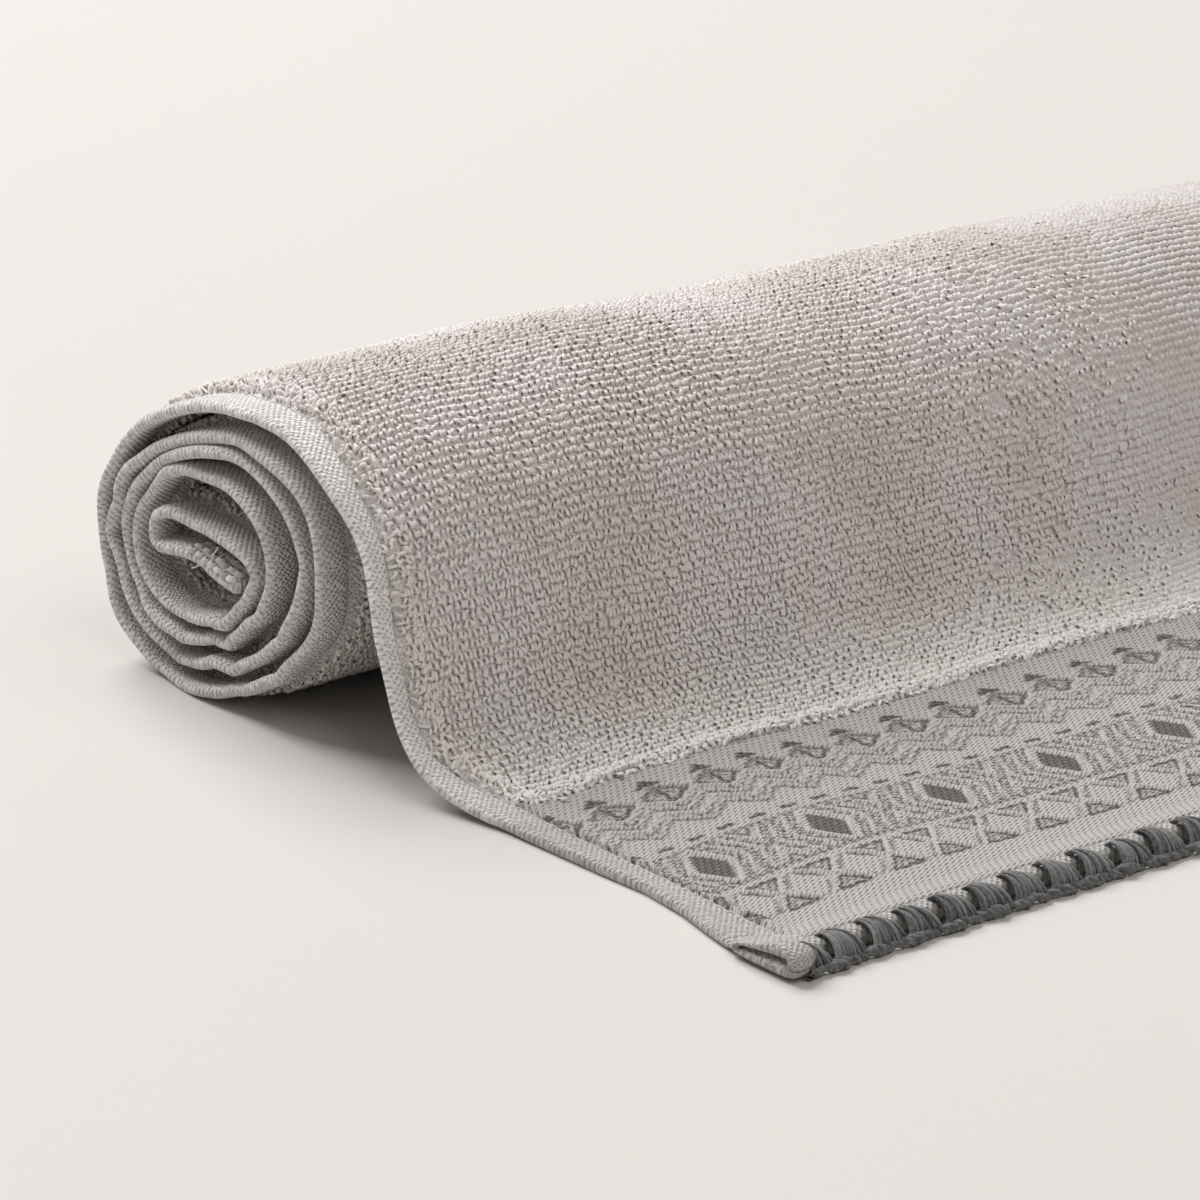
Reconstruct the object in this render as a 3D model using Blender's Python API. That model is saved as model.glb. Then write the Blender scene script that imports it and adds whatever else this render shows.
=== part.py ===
"""Rolled hand towel: terry cloth rolled up from one end, its bordered end lying flat in front.

Sizes are millimetres in this file and metres in the scene. X runs along the roll, Z is up, and the
bordered end lies towards -Y. Seen from the near end (-X), the cloth runs from its front edge along the
surface, up the front of the roll, over its top, down its back and so on inwards. The hours in the table of
turns are those of a clock face seen from that end, with the bordered end on its right.
"""
import math

import bpy

MM = 0.001

# Cloth
TOWEL_WIDTH = 500.0
HEM_THICKNESS = 2.6
HEM_WIDTH = 7.0
PILE_HEIGHT = 1.8
PILE_SLOPE = 2.5
BORDER_THICKNESS = 2.2
END_HEM_THICKNESS = 4.0
CUT_EDGE_ROUNDING = 0.6

# Roll, measured from the spot where its near end touches the surface
ROLL_CENTRE_Y = 4.0
ROLL_CENTRE_Z = 31.0
ROLL_HEIGHT = 66.0
DEGREES_PER_HOUR = 30.0
SAMPLES_PER_HOUR = 3
TURN_START_ANGLE = -20.0
TURN_END_ANGLE = 312.0

# Radius of the cloth's middle from the roll's centre, at each hour, a row for each turn from the outside in
HOURS = ("at_1", "at_12", "at_11", "at_10", "at_9", "at_8", "at_7", "at_6", "at_5", "at_4", "at_3", "at_2")
TURNS = (
    dict(at_1=38.5, at_12=31.4, at_11=29.1, at_10=33.8, at_9=39.7, at_8=40.9,
         at_7=34.0, at_6=29.4, at_5=27.4, at_4=30.2, at_3=36.3, at_2=38.6),
    dict(at_1=31.0, at_12=25.3, at_11=24.0, at_10=28.9, at_9=36.2, at_8=34.6,
         at_7=28.4, at_6=24.4, at_5=22.3, at_4=24.4, at_3=29.0, at_2=31.2),
    dict(at_1=26.4, at_12=21.2, at_11=20.2, at_10=25.0, at_9=31.0, at_8=28.8,
         at_7=23.2, at_6=18.9, at_5=16.6, at_4=17.6, at_3=20.6, at_2=21.4),
    dict(at_1=18.6, at_12=16.2, at_11=16.6, at_10=21.2, at_9=27.0, at_8=24.3,
         at_7=18.3, at_6=14.6, at_5=13.0, at_4=13.0, at_3=14.2, at_2=13.2),
)
FLAP_RADIUS_AT_2 = 49.0

# The part that lies in front, from the border to the crown of the roll: middle of the cloth, in its section
BORDER_START_Y = -83.5
FLAP = (
    dict(fold="behind the end hem", y=-160.0, z=BORDER_THICKNESS / 2),
    dict(fold="border", y=-122.0, z=BORDER_THICKNESS / 2),
    dict(fold="last of the border", y=-85.0, z=BORDER_THICKNESS / 2),
    dict(fold="lift off", y=-79.5, z=HEM_THICKNESS / 2),
    dict(fold="ramp", y=-72.0, z=3.6),
    dict(fold="foot", y=-64.5, z=8.3),
    dict(fold="shin", y=-58.4, z=16.0),
    dict(fold="lean", y=-54.4, z=27.5),
    dict(fold="knee", y=-50.9, z=38.7),
    dict(fold="shoulder", y=-44.4, z=49.6),
    dict(fold="front of the crown", y=-34.7, z=58.1),
    dict(fold="crown", y=-23.5, z=62.9),
)
SAMPLES_PER_FOLD = 3
FOLD_APEX_Y = -17.0
FOLD_APEX_Z = 59.2

# Front edge: a round nose on the end hem
NOSE_CENTRE_Y = -167.6
NOSE_STEPS = 6
NOSE_BACK_Y = -163.5
NOSE_BACK_Z = 3.6
EDGE_WAVE = 0.5
EDGE_WAVE_LENGTH = 190.0
EDGE_WAVE_FADE_Y = -90.0
SWELL_FADE_Y = -80.0
FADE_LENGTH = 30.0

# Height that the roll gains or loses along its length, a row for each place
SWELL = (
    dict(place="side hem", x=0.0, gain=0.0),
    dict(place="behind the hem", x=18.0, gain=2.0),
    dict(place="first hump", x=70.0, gain=2.0),
    dict(place="first dip", x=130.0, gain=-1.0),
    dict(place="middle", x=215.0, gain=-0.8),
    dict(place="second dip", x=300.0, gain=-1.9),
    dict(place="second hump", x=410.0, gain=0.6),
    dict(place="far hem", x=500.0, gain=0.0),
)
SECTION_X = (0.0, 1.5, 7.0, 9.5, 18.0, 42.0, 70.0, 100.0, 130.0, 170.0, 215.0, 258.0,
             300.0, 338.0, 375.0, 410.0, 448.0, 482.0, 490.5, 493.0, 498.5, 500.0)

# Gaps between the turns, cut into both ends of the roll
GAP_DEPTH = 14.0
GAP_OVERCUT = 5.0
SMALLEST_GAP = 0.7
GAP_START_ANGLE = 306.0
GAP_END_ANGLE = 1320.0
GAP_STEP_ANGLE = 12.0

# Dark edging
STITCH_CLEARANCE = 0.3
STITCH_THICKNESS = 0.7
STITCH_END_MARGIN = 3.0
BEAD_FRONT_Y = -173.0
BEAD_HEIGHT = 3.0
BEAD_ROUNDING = 0.9
BEAD_HEEL_Y = 0.1
BEAD_HEEL_Z = 0.6
BEAD_FOOT_Y = 0.3
CLAW_COUNT = 57
CLAW_REACH = 5.2
CLAW_ROOT_REACH = 0.4
CLAW_TIP_SHARE = 0.35
CLAW_STATIONS = (0.0, 0.14, 0.25, 0.35, 0.62, 0.84, 0.95)
NOSE_SKIN_START = math.radians(165.0)
SKIN_STEPS = 3

TOWEL_COLOUR = (0.46, 0.43, 0.40, 1.0)
TOWEL_ROUGHNESS = 0.95
STITCH_COLOUR = (0.07, 0.068, 0.064, 1.0)
STITCH_ROUGHNESS = 0.85
SHARP_ANGLE = math.radians(40.0)


def smooth(values, position):
    """Value of a smooth curve through evenly spaced values, at a position counted in steps."""
    last = len(values) - 1
    position = min(max(position, 0.0), float(last))
    start = min(int(position), last - 1)
    t = position - start
    before = values[max(start - 1, 0)]
    first = values[start]
    second = values[start + 1]
    after = values[min(start + 2, last)]
    pull = (second - before) * 0.5
    push = (after - first) * 0.5
    return (first * (2 * t**3 - 3 * t**2 + 1) + pull * (t**3 - 2 * t**2 + t)
            + second * (3 * t**2 - 2 * t**3) + push * (t**3 - t**2))


def clamp(value):
    """Value held between 0 and 1."""
    return min(max(value, 0.0), 1.0)


def swell_at(x):
    """Height gained by the roll at x, eased between the rows on either side."""
    for low, high in zip(SWELL, SWELL[1:]):
        if x <= high["x"]:
            share = (x - low["x"]) / (high["x"] - low["x"])
            eased = share * share * (3 - 2 * share)
            return low["gain"] + (high["gain"] - low["gain"]) * eased
    return SWELL[-1]["gain"]


def roll_radii():
    """Radii at every hour, from two o'clock on the flap inwards."""
    radii = [FLAP_RADIUS_AT_2]
    for turn in TURNS:
        radii.extend(turn[hour] for hour in HOURS)
    return radii


RADII = roll_radii()
FIRST_ANGLE = -2 * DEGREES_PER_HOUR


def radius_at(degrees):
    """Radius of the cloth's middle after turning by an angle from the top of the outer turn."""
    return smooth(RADII, (degrees - FIRST_ANGLE) / DEGREES_PER_HOUR)


def polar(degrees, radius):
    """Point of the section at an angle from the top, backwards, and a radius."""
    angle = math.radians(degrees)
    return ROLL_CENTRE_Y + radius * math.sin(angle), ROLL_CENTRE_Z + radius * math.cos(angle)


def flap_middle():
    """Middle of the cloth from the end hem to the crown of the roll."""
    ys = [row["y"] for row in FLAP]
    zs = [row["z"] for row in FLAP]
    count = (len(FLAP) - 1) * SAMPLES_PER_FOLD
    return [(smooth(ys, i / SAMPLES_PER_FOLD), smooth(zs, i / SAMPLES_PER_FOLD)) for i in range(count + 1)]


def outer_turn_middle():
    """Middle of the outermost turn, from the crown round to the fold behind the flap."""
    step = DEGREES_PER_HOUR / SAMPLES_PER_HOUR
    count = int((TURN_END_ANGLE - TURN_START_ANGLE) / step)
    angles = [TURN_START_ANGLE + i * step for i in range(count + 1)]
    return [polar(angle, radius_at(angle)) for angle in angles]


def offset(points, distance_at):
    """Points moved to the left of their path by a distance that depends on the point."""
    moved = []
    for i, (y, z) in enumerate(points):
        before = points[max(i - 1, 0)]
        after = points[min(i + 1, len(points) - 1)]
        dy = after[0] - before[0]
        dz = after[1] - before[1]
        length = math.hypot(dy, dz)
        distance = distance_at(y)
        moved.append((y - dz / length * distance, z + dy / length * distance))
    return moved


def half_thickness(y, pile):
    """Half the cloth's thickness: flat in the border, with pile behind it."""
    if y < BORDER_START_Y:
        return BORDER_THICKNESS / 2
    return HEM_THICKNESS / 2 + PILE_HEIGHT * pile


def nose():
    """Front of the end hem, from below the cloth round to its upper side."""
    radius = END_HEM_THICKNESS / 2
    points = []
    for i in range(NOSE_STEPS + 1):
        angle = math.radians(-90.0 - 180.0 * i / NOSE_STEPS)
        points.append((NOSE_CENTRE_Y + radius * math.cos(angle), radius + radius * math.sin(angle)))
    points.append((NOSE_BACK_Y, NOSE_BACK_Z))
    return points


def towel_outline(pile, shrink):
    """Closed section of the towel: nose, upper side, round the roll, and back under the flap."""
    flap = flap_middle()
    turn = outer_turn_middle()
    upper = offset(flap + turn, lambda y: half_thickness(y, pile) - shrink)
    lower = offset(flap, lambda y: shrink - half_thickness(y, pile))
    points = nose() + upper + [(FOLD_APEX_Y, FOLD_APEX_Z)] + lower[::-1]
    return [(y, max(z, 0.0)) for y, z in reversed(points)]


def pile_share(x):
    """0 on a side hem and 1 on the pile behind it."""
    from_side = min(x, TOWEL_WIDTH - x)
    return clamp((from_side - HEM_WIDTH) / PILE_SLOPE)


def edge_rounding(x):
    """How much thinner the cloth is at the very edge of a side hem."""
    from_side = min(x, TOWEL_WIDTH - x)
    return CUT_EDGE_ROUNDING if from_side <= 0.0 else 0.0


def edge_wave(x):
    """How far the front edge wanders along the roll."""
    return EDGE_WAVE * math.sin(2 * math.pi * x / EDGE_WAVE_LENGTH)


def lie(x, y, z):
    """Point of the section at x, with the unevenness of cloth laid by hand."""
    on_roll = clamp((y - SWELL_FADE_Y) / FADE_LENGTH)
    on_front = clamp((EDGE_WAVE_FADE_Y - y) / FADE_LENGTH)
    height = z * (1.0 + on_roll * swell_at(x) / ROLL_HEIGHT)
    return x, y + on_front * edge_wave(x), height


def tube_mesh(name, sections):
    """Closed body through sections of equal length, with its two ends filled."""
    count = len(sections[0])
    points = [point for section in sections for point in section]
    faces = []
    for s in range(len(sections) - 1):
        for i in range(count):
            j = (i + 1) % count
            low = s * count
            high = low + count
            faces.append((low + i, low + j, high + j, high + i))
    faces.append(tuple(range(count))[::-1])
    faces.append(tuple(range(len(points) - count, len(points))))
    mesh = bpy.data.meshes.new(name)
    mesh.from_pydata([tuple(c * MM for c in point) for point in points], [], faces)
    mesh.validate()
    return mesh


def place(name, mesh, material):
    """Object for a mesh, linked to the scene and shaded smooth but for its sharp edges."""
    shape = bpy.data.objects.new(name, mesh)
    bpy.context.scene.collection.objects.link(shape)
    mesh.materials.append(material)
    mesh.shade_smooth()
    mesh.set_sharp_from_angle(angle=SHARP_ANGLE)
    return shape


def cloth_material(name, colour, roughness):
    """Plain material of a piece."""
    material = bpy.data.materials.new(name)
    material.use_nodes = True
    shader = material.node_tree.nodes["Principled BSDF"]
    shader.inputs["Base Color"].default_value = colour
    shader.inputs["Roughness"].default_value = roughness
    shader.inputs["Metallic"].default_value = 0.0
    material.diffuse_color = colour
    return material


def gap_outline():
    """Long thin section of the space between the turns."""
    steps = int((GAP_END_ANGLE - GAP_START_ANGLE) / GAP_STEP_ANGLE)
    inner = []
    outer = []
    for i in range(steps + 1):
        angle = GAP_START_ANGLE + i * GAP_STEP_ANGLE
        low = radius_at(angle) + HEM_THICKNESS / 2
        high = radius_at(angle - 360.0) - HEM_THICKNESS / 2
        middle = (low + high) / 2
        half = max(high - low, SMALLEST_GAP) / 2
        inner.append(polar(angle, middle - half))
        outer.append(polar(angle, middle + half))
    return inner + outer[::-1]


def gap_cutter(name, start_x, end_x):
    """Body that cuts the gaps between the turns into one end."""
    mesh = tube_mesh(name, [[(x, y, z) for y, z in gap_outline()] for x in (start_x, end_x)])
    cutter = bpy.data.objects.new(name, mesh)
    bpy.context.scene.collection.objects.link(cutter)
    cutter.hide_render = True
    cutter.display_type = "WIRE"
    return cutter


def build_towel():
    """The cloth: flap, roll and the gaps that show at both ends of the roll."""
    sections = []
    for x in SECTION_X:
        outline = towel_outline(pile_share(x), edge_rounding(x))
        sections.append([lie(x, y, z) for y, z in outline])
    towel = place("towel", tube_mesh("towel", sections), cloth_material("terry", TOWEL_COLOUR, TOWEL_ROUGHNESS))
    ends = (("near_gaps", -GAP_OVERCUT, GAP_DEPTH),
            ("far_gaps", TOWEL_WIDTH - GAP_DEPTH, TOWEL_WIDTH + GAP_OVERCUT))
    for name, start_x, end_x in ends:
        cut = towel.modifiers.new(name, "BOOLEAN")
        cut.operation = "DIFFERENCE"
        cut.solver = "EXACT"
        cut.object = gap_cutter(name, start_x, end_x)
    return towel


def claw_reach(share):
    """How far a claw reaches over the hem: hollow before its tip and full behind it."""
    extra = CLAW_REACH - CLAW_ROOT_REACH
    if share < CLAW_TIP_SHARE:
        rise = share / CLAW_TIP_SHARE
        return CLAW_ROOT_REACH + extra * rise * rise
    fall = (share - CLAW_TIP_SHARE) / (1.0 - CLAW_TIP_SHARE)
    return CLAW_ROOT_REACH + extra * math.sqrt(max(1.0 - fall * fall, 0.0))


def nose_point(along, lift):
    """Point at a distance along the hem's nose and top, lifted off the cloth."""
    radius = END_HEM_THICKNESS / 2
    turned = along / radius
    quarter = NOSE_SKIN_START - math.pi / 2
    if turned < quarter:
        angle = NOSE_SKIN_START - turned
        reach = radius + lift
        return NOSE_CENTRE_Y + reach * math.cos(angle), radius + reach * math.sin(angle)
    past = along - quarter * radius
    return NOSE_CENTRE_Y + past, END_HEM_THICKNESS + lift


def stitch_outline(reach):
    """Section of the edging: a bead at the foot of the hem and a skin that reaches over it."""
    skin_out = STITCH_CLEARANCE + STITCH_THICKNESS
    bead_back_y = nose_point(0.0, STITCH_CLEARANCE)[0]
    bead = [(bead_back_y - BEAD_HEEL_Y, BEAD_HEEL_Z), (bead_back_y - BEAD_FOOT_Y, 0.0),
            (BEAD_FRONT_Y + BEAD_ROUNDING, 0.0), (BEAD_FRONT_Y, BEAD_HEIGHT / 2),
            (BEAD_FRONT_Y + BEAD_ROUNDING, BEAD_HEIGHT)]
    lengths = [reach * i / SKIN_STEPS for i in range(1, SKIN_STEPS + 1)]
    outer = [nose_point(length, skin_out) for length in lengths]
    inner = [nose_point(length, STITCH_CLEARANCE) for length in [*lengths[::-1], 0.0]]
    return (bead + outer + inner)[::-1]


def build_edge_stitch():
    """The dark overcast edging along the front edge."""
    length = TOWEL_WIDTH - 2 * STITCH_END_MARGIN
    pitch = length / CLAW_COUNT
    places = [(STITCH_END_MARGIN + (claw + share) * pitch, share)
              for claw in range(CLAW_COUNT) for share in CLAW_STATIONS]
    places.append((STITCH_END_MARGIN + length, 0.0))
    sections = []
    for x, share in places:
        outline = stitch_outline(claw_reach(share))
        sections.append([(x, y + edge_wave(x), z) for y, z in outline])
    mesh = tube_mesh("edge_stitch", sections)
    return place("edge_stitch", mesh, cloth_material("dark_cotton", STITCH_COLOUR, STITCH_ROUGHNESS))


def centre_on_base(shapes):
    """Moves the meshes so that the world origin is under the middle of the whole part."""
    corners = [v.co for shape in shapes for v in shape.data.vertices]
    middle_x = (min(c.x for c in corners) + max(c.x for c in corners)) / 2
    middle_y = (min(c.y for c in corners) + max(c.y for c in corners)) / 2
    for shape in list(bpy.data.objects):
        for vertex in shape.data.vertices:
            vertex.co.x -= middle_x
            vertex.co.y -= middle_y


def build():
    for old in list(bpy.data.objects):
        bpy.data.objects.remove(old, do_unlink=True)
    centre_on_base([build_towel(), build_edge_stitch()])


build()
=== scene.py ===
"""Rolled hand towel, dressed: one sheet of terry with hems, its loops, figured border and dark edging.

Lengths in this file are millimetres, measured from the spot where the roll's near end touches the surface,
and `to_world` turns them into the frame's metres. A place on the cloth is (s, x): s runs along the cloth
from its front edge to its rolled-in end, and x across it from the near side hem.
"""
import math

import bpy
import numpy as np
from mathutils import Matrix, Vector


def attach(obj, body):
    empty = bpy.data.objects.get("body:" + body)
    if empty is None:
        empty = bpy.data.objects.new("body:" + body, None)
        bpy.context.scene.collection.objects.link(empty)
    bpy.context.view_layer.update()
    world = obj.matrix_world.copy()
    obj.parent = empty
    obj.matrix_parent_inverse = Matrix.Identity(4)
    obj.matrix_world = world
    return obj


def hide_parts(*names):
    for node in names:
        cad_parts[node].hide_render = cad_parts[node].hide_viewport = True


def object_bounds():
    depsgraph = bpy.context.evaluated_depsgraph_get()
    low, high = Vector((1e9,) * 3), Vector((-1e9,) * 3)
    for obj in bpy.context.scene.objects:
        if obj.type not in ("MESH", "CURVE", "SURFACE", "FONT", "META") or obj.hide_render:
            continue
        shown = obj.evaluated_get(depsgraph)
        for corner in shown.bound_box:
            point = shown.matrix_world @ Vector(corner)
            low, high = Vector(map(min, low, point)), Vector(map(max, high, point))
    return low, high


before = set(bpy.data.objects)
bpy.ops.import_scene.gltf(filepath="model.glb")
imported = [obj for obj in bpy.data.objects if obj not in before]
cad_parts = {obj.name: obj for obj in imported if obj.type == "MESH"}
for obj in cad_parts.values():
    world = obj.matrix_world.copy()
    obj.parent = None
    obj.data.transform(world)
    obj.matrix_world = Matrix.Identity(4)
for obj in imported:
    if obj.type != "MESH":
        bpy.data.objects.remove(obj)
CAD_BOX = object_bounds()

MM = 0.001
TAU = 2.0 * math.pi

# Cloth, as in the part
WIDTH = 500.0
CAD_FRONT_Y = -173.5
ROLL_CENTRE = (4.0, 31.0)
ROLL_HEIGHT = 66.0
HOURS = ("at_1", "at_12", "at_11", "at_10", "at_9", "at_8", "at_7", "at_6", "at_5", "at_4", "at_3", "at_2")
TURNS = (
    dict(at_1=38.5, at_12=31.6, at_11=30.5, at_10=34.3, at_9=38.4, at_8=39.8,
         at_7=34.0, at_6=28.3, at_5=27.2, at_4=30.2, at_3=36.8, at_2=38.4),
    dict(at_1=31.0, at_12=25.1, at_11=24.5, at_10=28.6, at_9=35.0, at_8=33.4,
         at_7=28.2, at_6=22.5, at_5=22.2, at_4=24.8, at_3=29.9, at_2=31.2),
    dict(at_1=26.4, at_12=22.3, at_11=21.8, at_10=25.2, at_9=30.8, at_8=28.9,
         at_7=21.8, at_6=17.4, at_5=16.4, at_4=16.9, at_3=19.2, at_2=21.2),
    dict(at_1=18.7, at_12=16.9, at_11=18.8, at_10=21.5, at_9=26.9, at_8=23.8,
         at_7=16.6, at_6=12.9, at_5=12.8, at_4=12.2, at_3=14.8, at_2=14.0),
)
FLAP_RADIUS_AT_2 = 49.0
FIRST_RADIUS_ANGLE = -60.0
FIRST_ROLL_ANGLE = -20.0
LAST_ROLL_ANGLE = 1330.0
DEGREES_PER_HOUR = 30.0
STEPS_PER_FOLD = 24
BORDER_START_Y = -83.5

# Middle of the cloth in front of the roll, from the front edge to the crown
FLAP = (
    dict(fold="nose", y=-170.9, z=2.05, hem=1.33),
    dict(fold="end hem", y=-165.0, z=1.9, hem=1.33),
    dict(fold="behind the end hem", y=-157.0, z=1.2, hem=1.33),
    dict(fold="border", y=-140.0, z=1.15, hem=1.33),
    dict(fold="middle of the border", y=-120.0, z=1.15, hem=1.33),
    dict(fold="back of the border", y=-100.0, z=1.25, hem=1.33),
    dict(fold="last of the border", y=-88.0, z=1.6, hem=1.33),
    dict(fold="lift off", y=-79.5, z=2.3, hem=1.25),
    dict(fold="ramp", y=-72.0, z=4.2, hem=0.88),
    dict(fold="foot", y=-64.5, z=8.6, hem=0.6),
    dict(fold="shin", y=-58.4, z=16.0, hem=0.52),
    dict(fold="lean", y=-54.4, z=27.5, hem=0.52),
    dict(fold="knee", y=-50.9, z=38.7, hem=0.58),
    dict(fold="shoulder", y=-44.4, z=49.6, hem=0.68),
    dict(fold="front of the crown", y=-34.7, z=58.1, hem=0.85),
    dict(fold="crown", y=-23.5, z=63.2, hem=0.97),
    dict(fold="top", y=-13.5, z=64.9, hem=1.0),
)

# The rolled-in end, folded flat in the heart of the roll
CORE = (
    dict(fold="turn in", y=-10.9, z=30.9),
    dict(fold="over the turn", y=-8.6, z=33.7),
    dict(fold="upper layer", y=-3.5, z=35.4),
    dict(fold="upper middle", y=4.0, z=36.3),
    dict(fold="over the pocket", y=11.5, z=36.4),
    dict(fold="before the bend", y=18.0, z=36.9),
    dict(fold="bend top", y=22.3, z=35.4),
    dict(fold="bend", y=23.1, z=31.8),
    dict(fold="bend bottom", y=21.4, z=29.3),
    dict(fold="lower layer", y=14.5, z=29.9),
    dict(fold="lower middle", y=8.0, z=29.8),
    dict(fold="under the end hem", y=2.0, z=28.2),
    dict(fold="rolled-in end", y=-5.5, z=27.3),
)

# Creases pressed into the turns at the ends of the roll: outwards if the height is positive
CRIMPS = (
    dict(turn=0, hour=9.6, height=-0.5, width=3.0),
    dict(turn=0, hour=8.35, height=-0.8, width=3.2),
    dict(turn=0, hour=7.3, height=0.7, width=3.0),
    dict(turn=0, hour=5.5, height=-0.4, width=3.0),
    dict(turn=0, hour=4.3, height=0.8, width=2.6),
    dict(turn=1, hour=9.75, height=0.6, width=2.4),
    dict(turn=1, hour=9.22, height=-1.9, width=3.0),
    dict(turn=1, hour=8.78, height=1.5, width=2.1),
    dict(turn=1, hour=8.4, height=-0.5, width=2.4),
    dict(turn=1, hour=6.95, height=0.6, width=2.4),
    dict(turn=1, hour=6.0, height=-0.7, width=3.0),
    dict(turn=1, hour=5.35, height=0.9, width=2.2),
    dict(turn=1, hour=3.75, height=0.7, width=2.2),
    dict(turn=1, hour=2.6, height=0.7, width=2.4),
    dict(turn=2, hour=9.3, height=-0.5, width=2.4),
    dict(turn=2, hour=8.1, height=-0.7, width=2.4),
    dict(turn=2, hour=6.9, height=0.7, width=2.0),
    dict(turn=2, hour=6.1, height=-0.5, width=2.2),
    dict(turn=2, hour=5.45, height=1.2, width=1.7),
    dict(turn=2, hour=4.4, height=-0.4, width=2.0),
    dict(turn=2, hour=3.9, height=0.7, width=2.0),
    dict(turn=3, hour=10.4, height=0.5, width=2.6),
    dict(turn=3, hour=9.6, height=-0.4, width=2.2),
    dict(turn=3, hour=5.4, height=1.0, width=1.8),
    dict(turn=3, hour=4.0, height=0.6, width=1.8),
)
CRIMP_FADE = 45.0

# Height that the roll gains or loses along its length, and where this and the edge's wave fade out
SWELL_X = np.array([0.0, 18.0, 70.0, 130.0, 215.0, 300.0, 410.0, 500.0])
SWELL_GAIN = np.array([0.0, 1.8, 2.0, -0.8, -0.9, -2.8, -1.4, 0.0])
SWELL_FADE_Y = -80.0
WAVE_FADE_Y = -90.0
FADE_LENGTH = 30.0

# Low humps where the border stands off the floor
BORDER_LIFTS = (dict(height=1.1, x=50.0, width=24.0), dict(height=0.35, x=150.0, width=30.0))
LIFT_BACK_Y = -70.0
LIFT_FRONT_Y = -170.0
LIFT_FADE = 20.0

# Small sideways slips of the turns at both ends of the roll
SIDE_SLIPS = (dict(reach=0.5, length=11.0, phase=0.0), dict(reach=0.45, length=4.7, phase=1.0))
SLIP_FADE = 60.0

# Inset of the near hem on the floor, and the wave of the front edge
INSET_Y = np.array([-172.0, -161.0, -150.0, -139.0, -127.0, -115.0, -101.0, -87.0, -80.0, -72.0, -66.0])
INSET = np.array([0.0, 0.5, 2.4, 4.8, 6.0, 5.3, 4.8, 4.2, 2.8, 1.2, 0.0])
INSET_REACH = 11.4
EDGE_WAVE = 0.5
EDGE_WAVE_LENGTH = 190.0

# Steps between the points that give the cloth's directions, and the least height of a point above the floor
ALONG_STEP = 0.4
ACROSS_STEP = 0.5
FLOOR_CLEARANCE = 0.03


def smooth(values, position):
    """Points of a smooth curve through evenly spaced values, at positions counted in steps."""
    values = np.asarray(values, float)
    last = len(values) - 1
    position = np.clip(np.asarray(position, float), 0.0, last)
    start = np.minimum(position.astype(int), last - 1)
    t = position - start
    before = values[np.maximum(start - 1, 0)]
    first = values[start]
    second = values[start + 1]
    after = values[np.minimum(start + 2, last)]
    pull = (second - before) * 0.5
    push = (after - first) * 0.5
    return (first * (2 * t**3 - 3 * t**2 + 1) + pull * (t**3 - 2 * t**2 + t)
            + second * (3 * t**2 - 2 * t**3) + push * (t**3 - t**2))


def ease(value):
    """0 below 0, 1 above 1, and smooth between."""
    value = np.clip(value, 0.0, 1.0)
    return value * value * (3.0 - 2.0 * value)


def bump_at(value, centre, width):
    """Soft hump of height 1 around a centre."""
    return np.exp(-((value - centre) / width) ** 2)


def roll_line(crimped):
    """Middle of the rolled turns, with or without the creases of the ends."""
    radii = [FLAP_RADIUS_AT_2] + [turn[hour] for turn in TURNS for hour in HOURS]
    angles = np.arange(FIRST_ROLL_ANGLE, LAST_ROLL_ANGLE, 1.0)
    radius = smooth(radii, (angles - FIRST_RADIUS_ANGLE) / DEGREES_PER_HOUR)
    if crimped:
        for crimp in CRIMPS:
            centre = crimp["turn"] * 360.0 + (12.0 - crimp["hour"]) * DEGREES_PER_HOUR
            away = np.radians(angles - centre) * radius
            radius = radius + crimp["height"] * bump_at(away, 0.0, crimp["width"])
    turned = np.radians(angles)
    return ROLL_CENTRE[0] + radius * np.sin(turned), ROLL_CENTRE[1] + radius * np.cos(turned)


def rows_line(rows):
    """Smooth line through a table's y and z."""
    steps = np.linspace(0.0, len(rows) - 1.0, (len(rows) - 1) * STEPS_PER_FOLD)
    return smooth([row["y"] for row in rows], steps), smooth([row["z"] for row in rows], steps)


def whole_line(crimped):
    """Middle of the whole cloth from the front edge to the rolled-in end."""
    pieces = (rows_line(FLAP), roll_line(crimped), rows_line(CORE))
    return np.concatenate([p[0] for p in pieces]), np.concatenate([p[1] for p in pieces])


LINE_Y, LINE_Z = whole_line(False)
CRIMP_Y, CRIMP_Z = (crimped - plain for crimped, plain in zip(whole_line(True), (LINE_Y, LINE_Z)))
LINE_S = np.concatenate([[0.0], np.cumsum(np.hypot(np.diff(LINE_Y), np.diff(LINE_Z)))])
LENGTH = float(LINE_S[-1])
FLAP_COUNT = (len(FLAP) - 1) * STEPS_PER_FOLD
CROWN_S = float(LINE_S[FLAP_COUNT])
TERRY_START_S = float(np.interp(BORDER_START_Y, LINE_Y[:FLAP_COUNT], LINE_S[:FLAP_COUNT]))


def turn_length(degrees):
    """Length of cloth from the crown through so many degrees of roll."""
    return float(LINE_S[FLAP_COUNT + int(degrees)] - CROWN_S)


def drawn_in(y, x):
    """Distance by which the near hem is drawn in where the flap lies on the floor."""
    return np.interp(y, INSET_Y, INSET, 0.0, 0.0) * np.clip(1.0 - x / INSET_REACH, 0.0, 1.0)


def edge_wander(x):
    """How far the front edge wanders along the cloth."""
    return EDGE_WAVE * np.sin(TAU * x / EDGE_WAVE_LENGTH)


def smooth_table(x, xs, values):
    """Value at x, eased between the entries of a table."""
    i = np.clip(np.searchsorted(xs, x) - 1, 0, len(xs) - 2)
    share = ease((x - xs[i]) / (xs[i + 1] - xs[i]))
    return values[i] + (values[i + 1] - values[i]) * share


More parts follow.
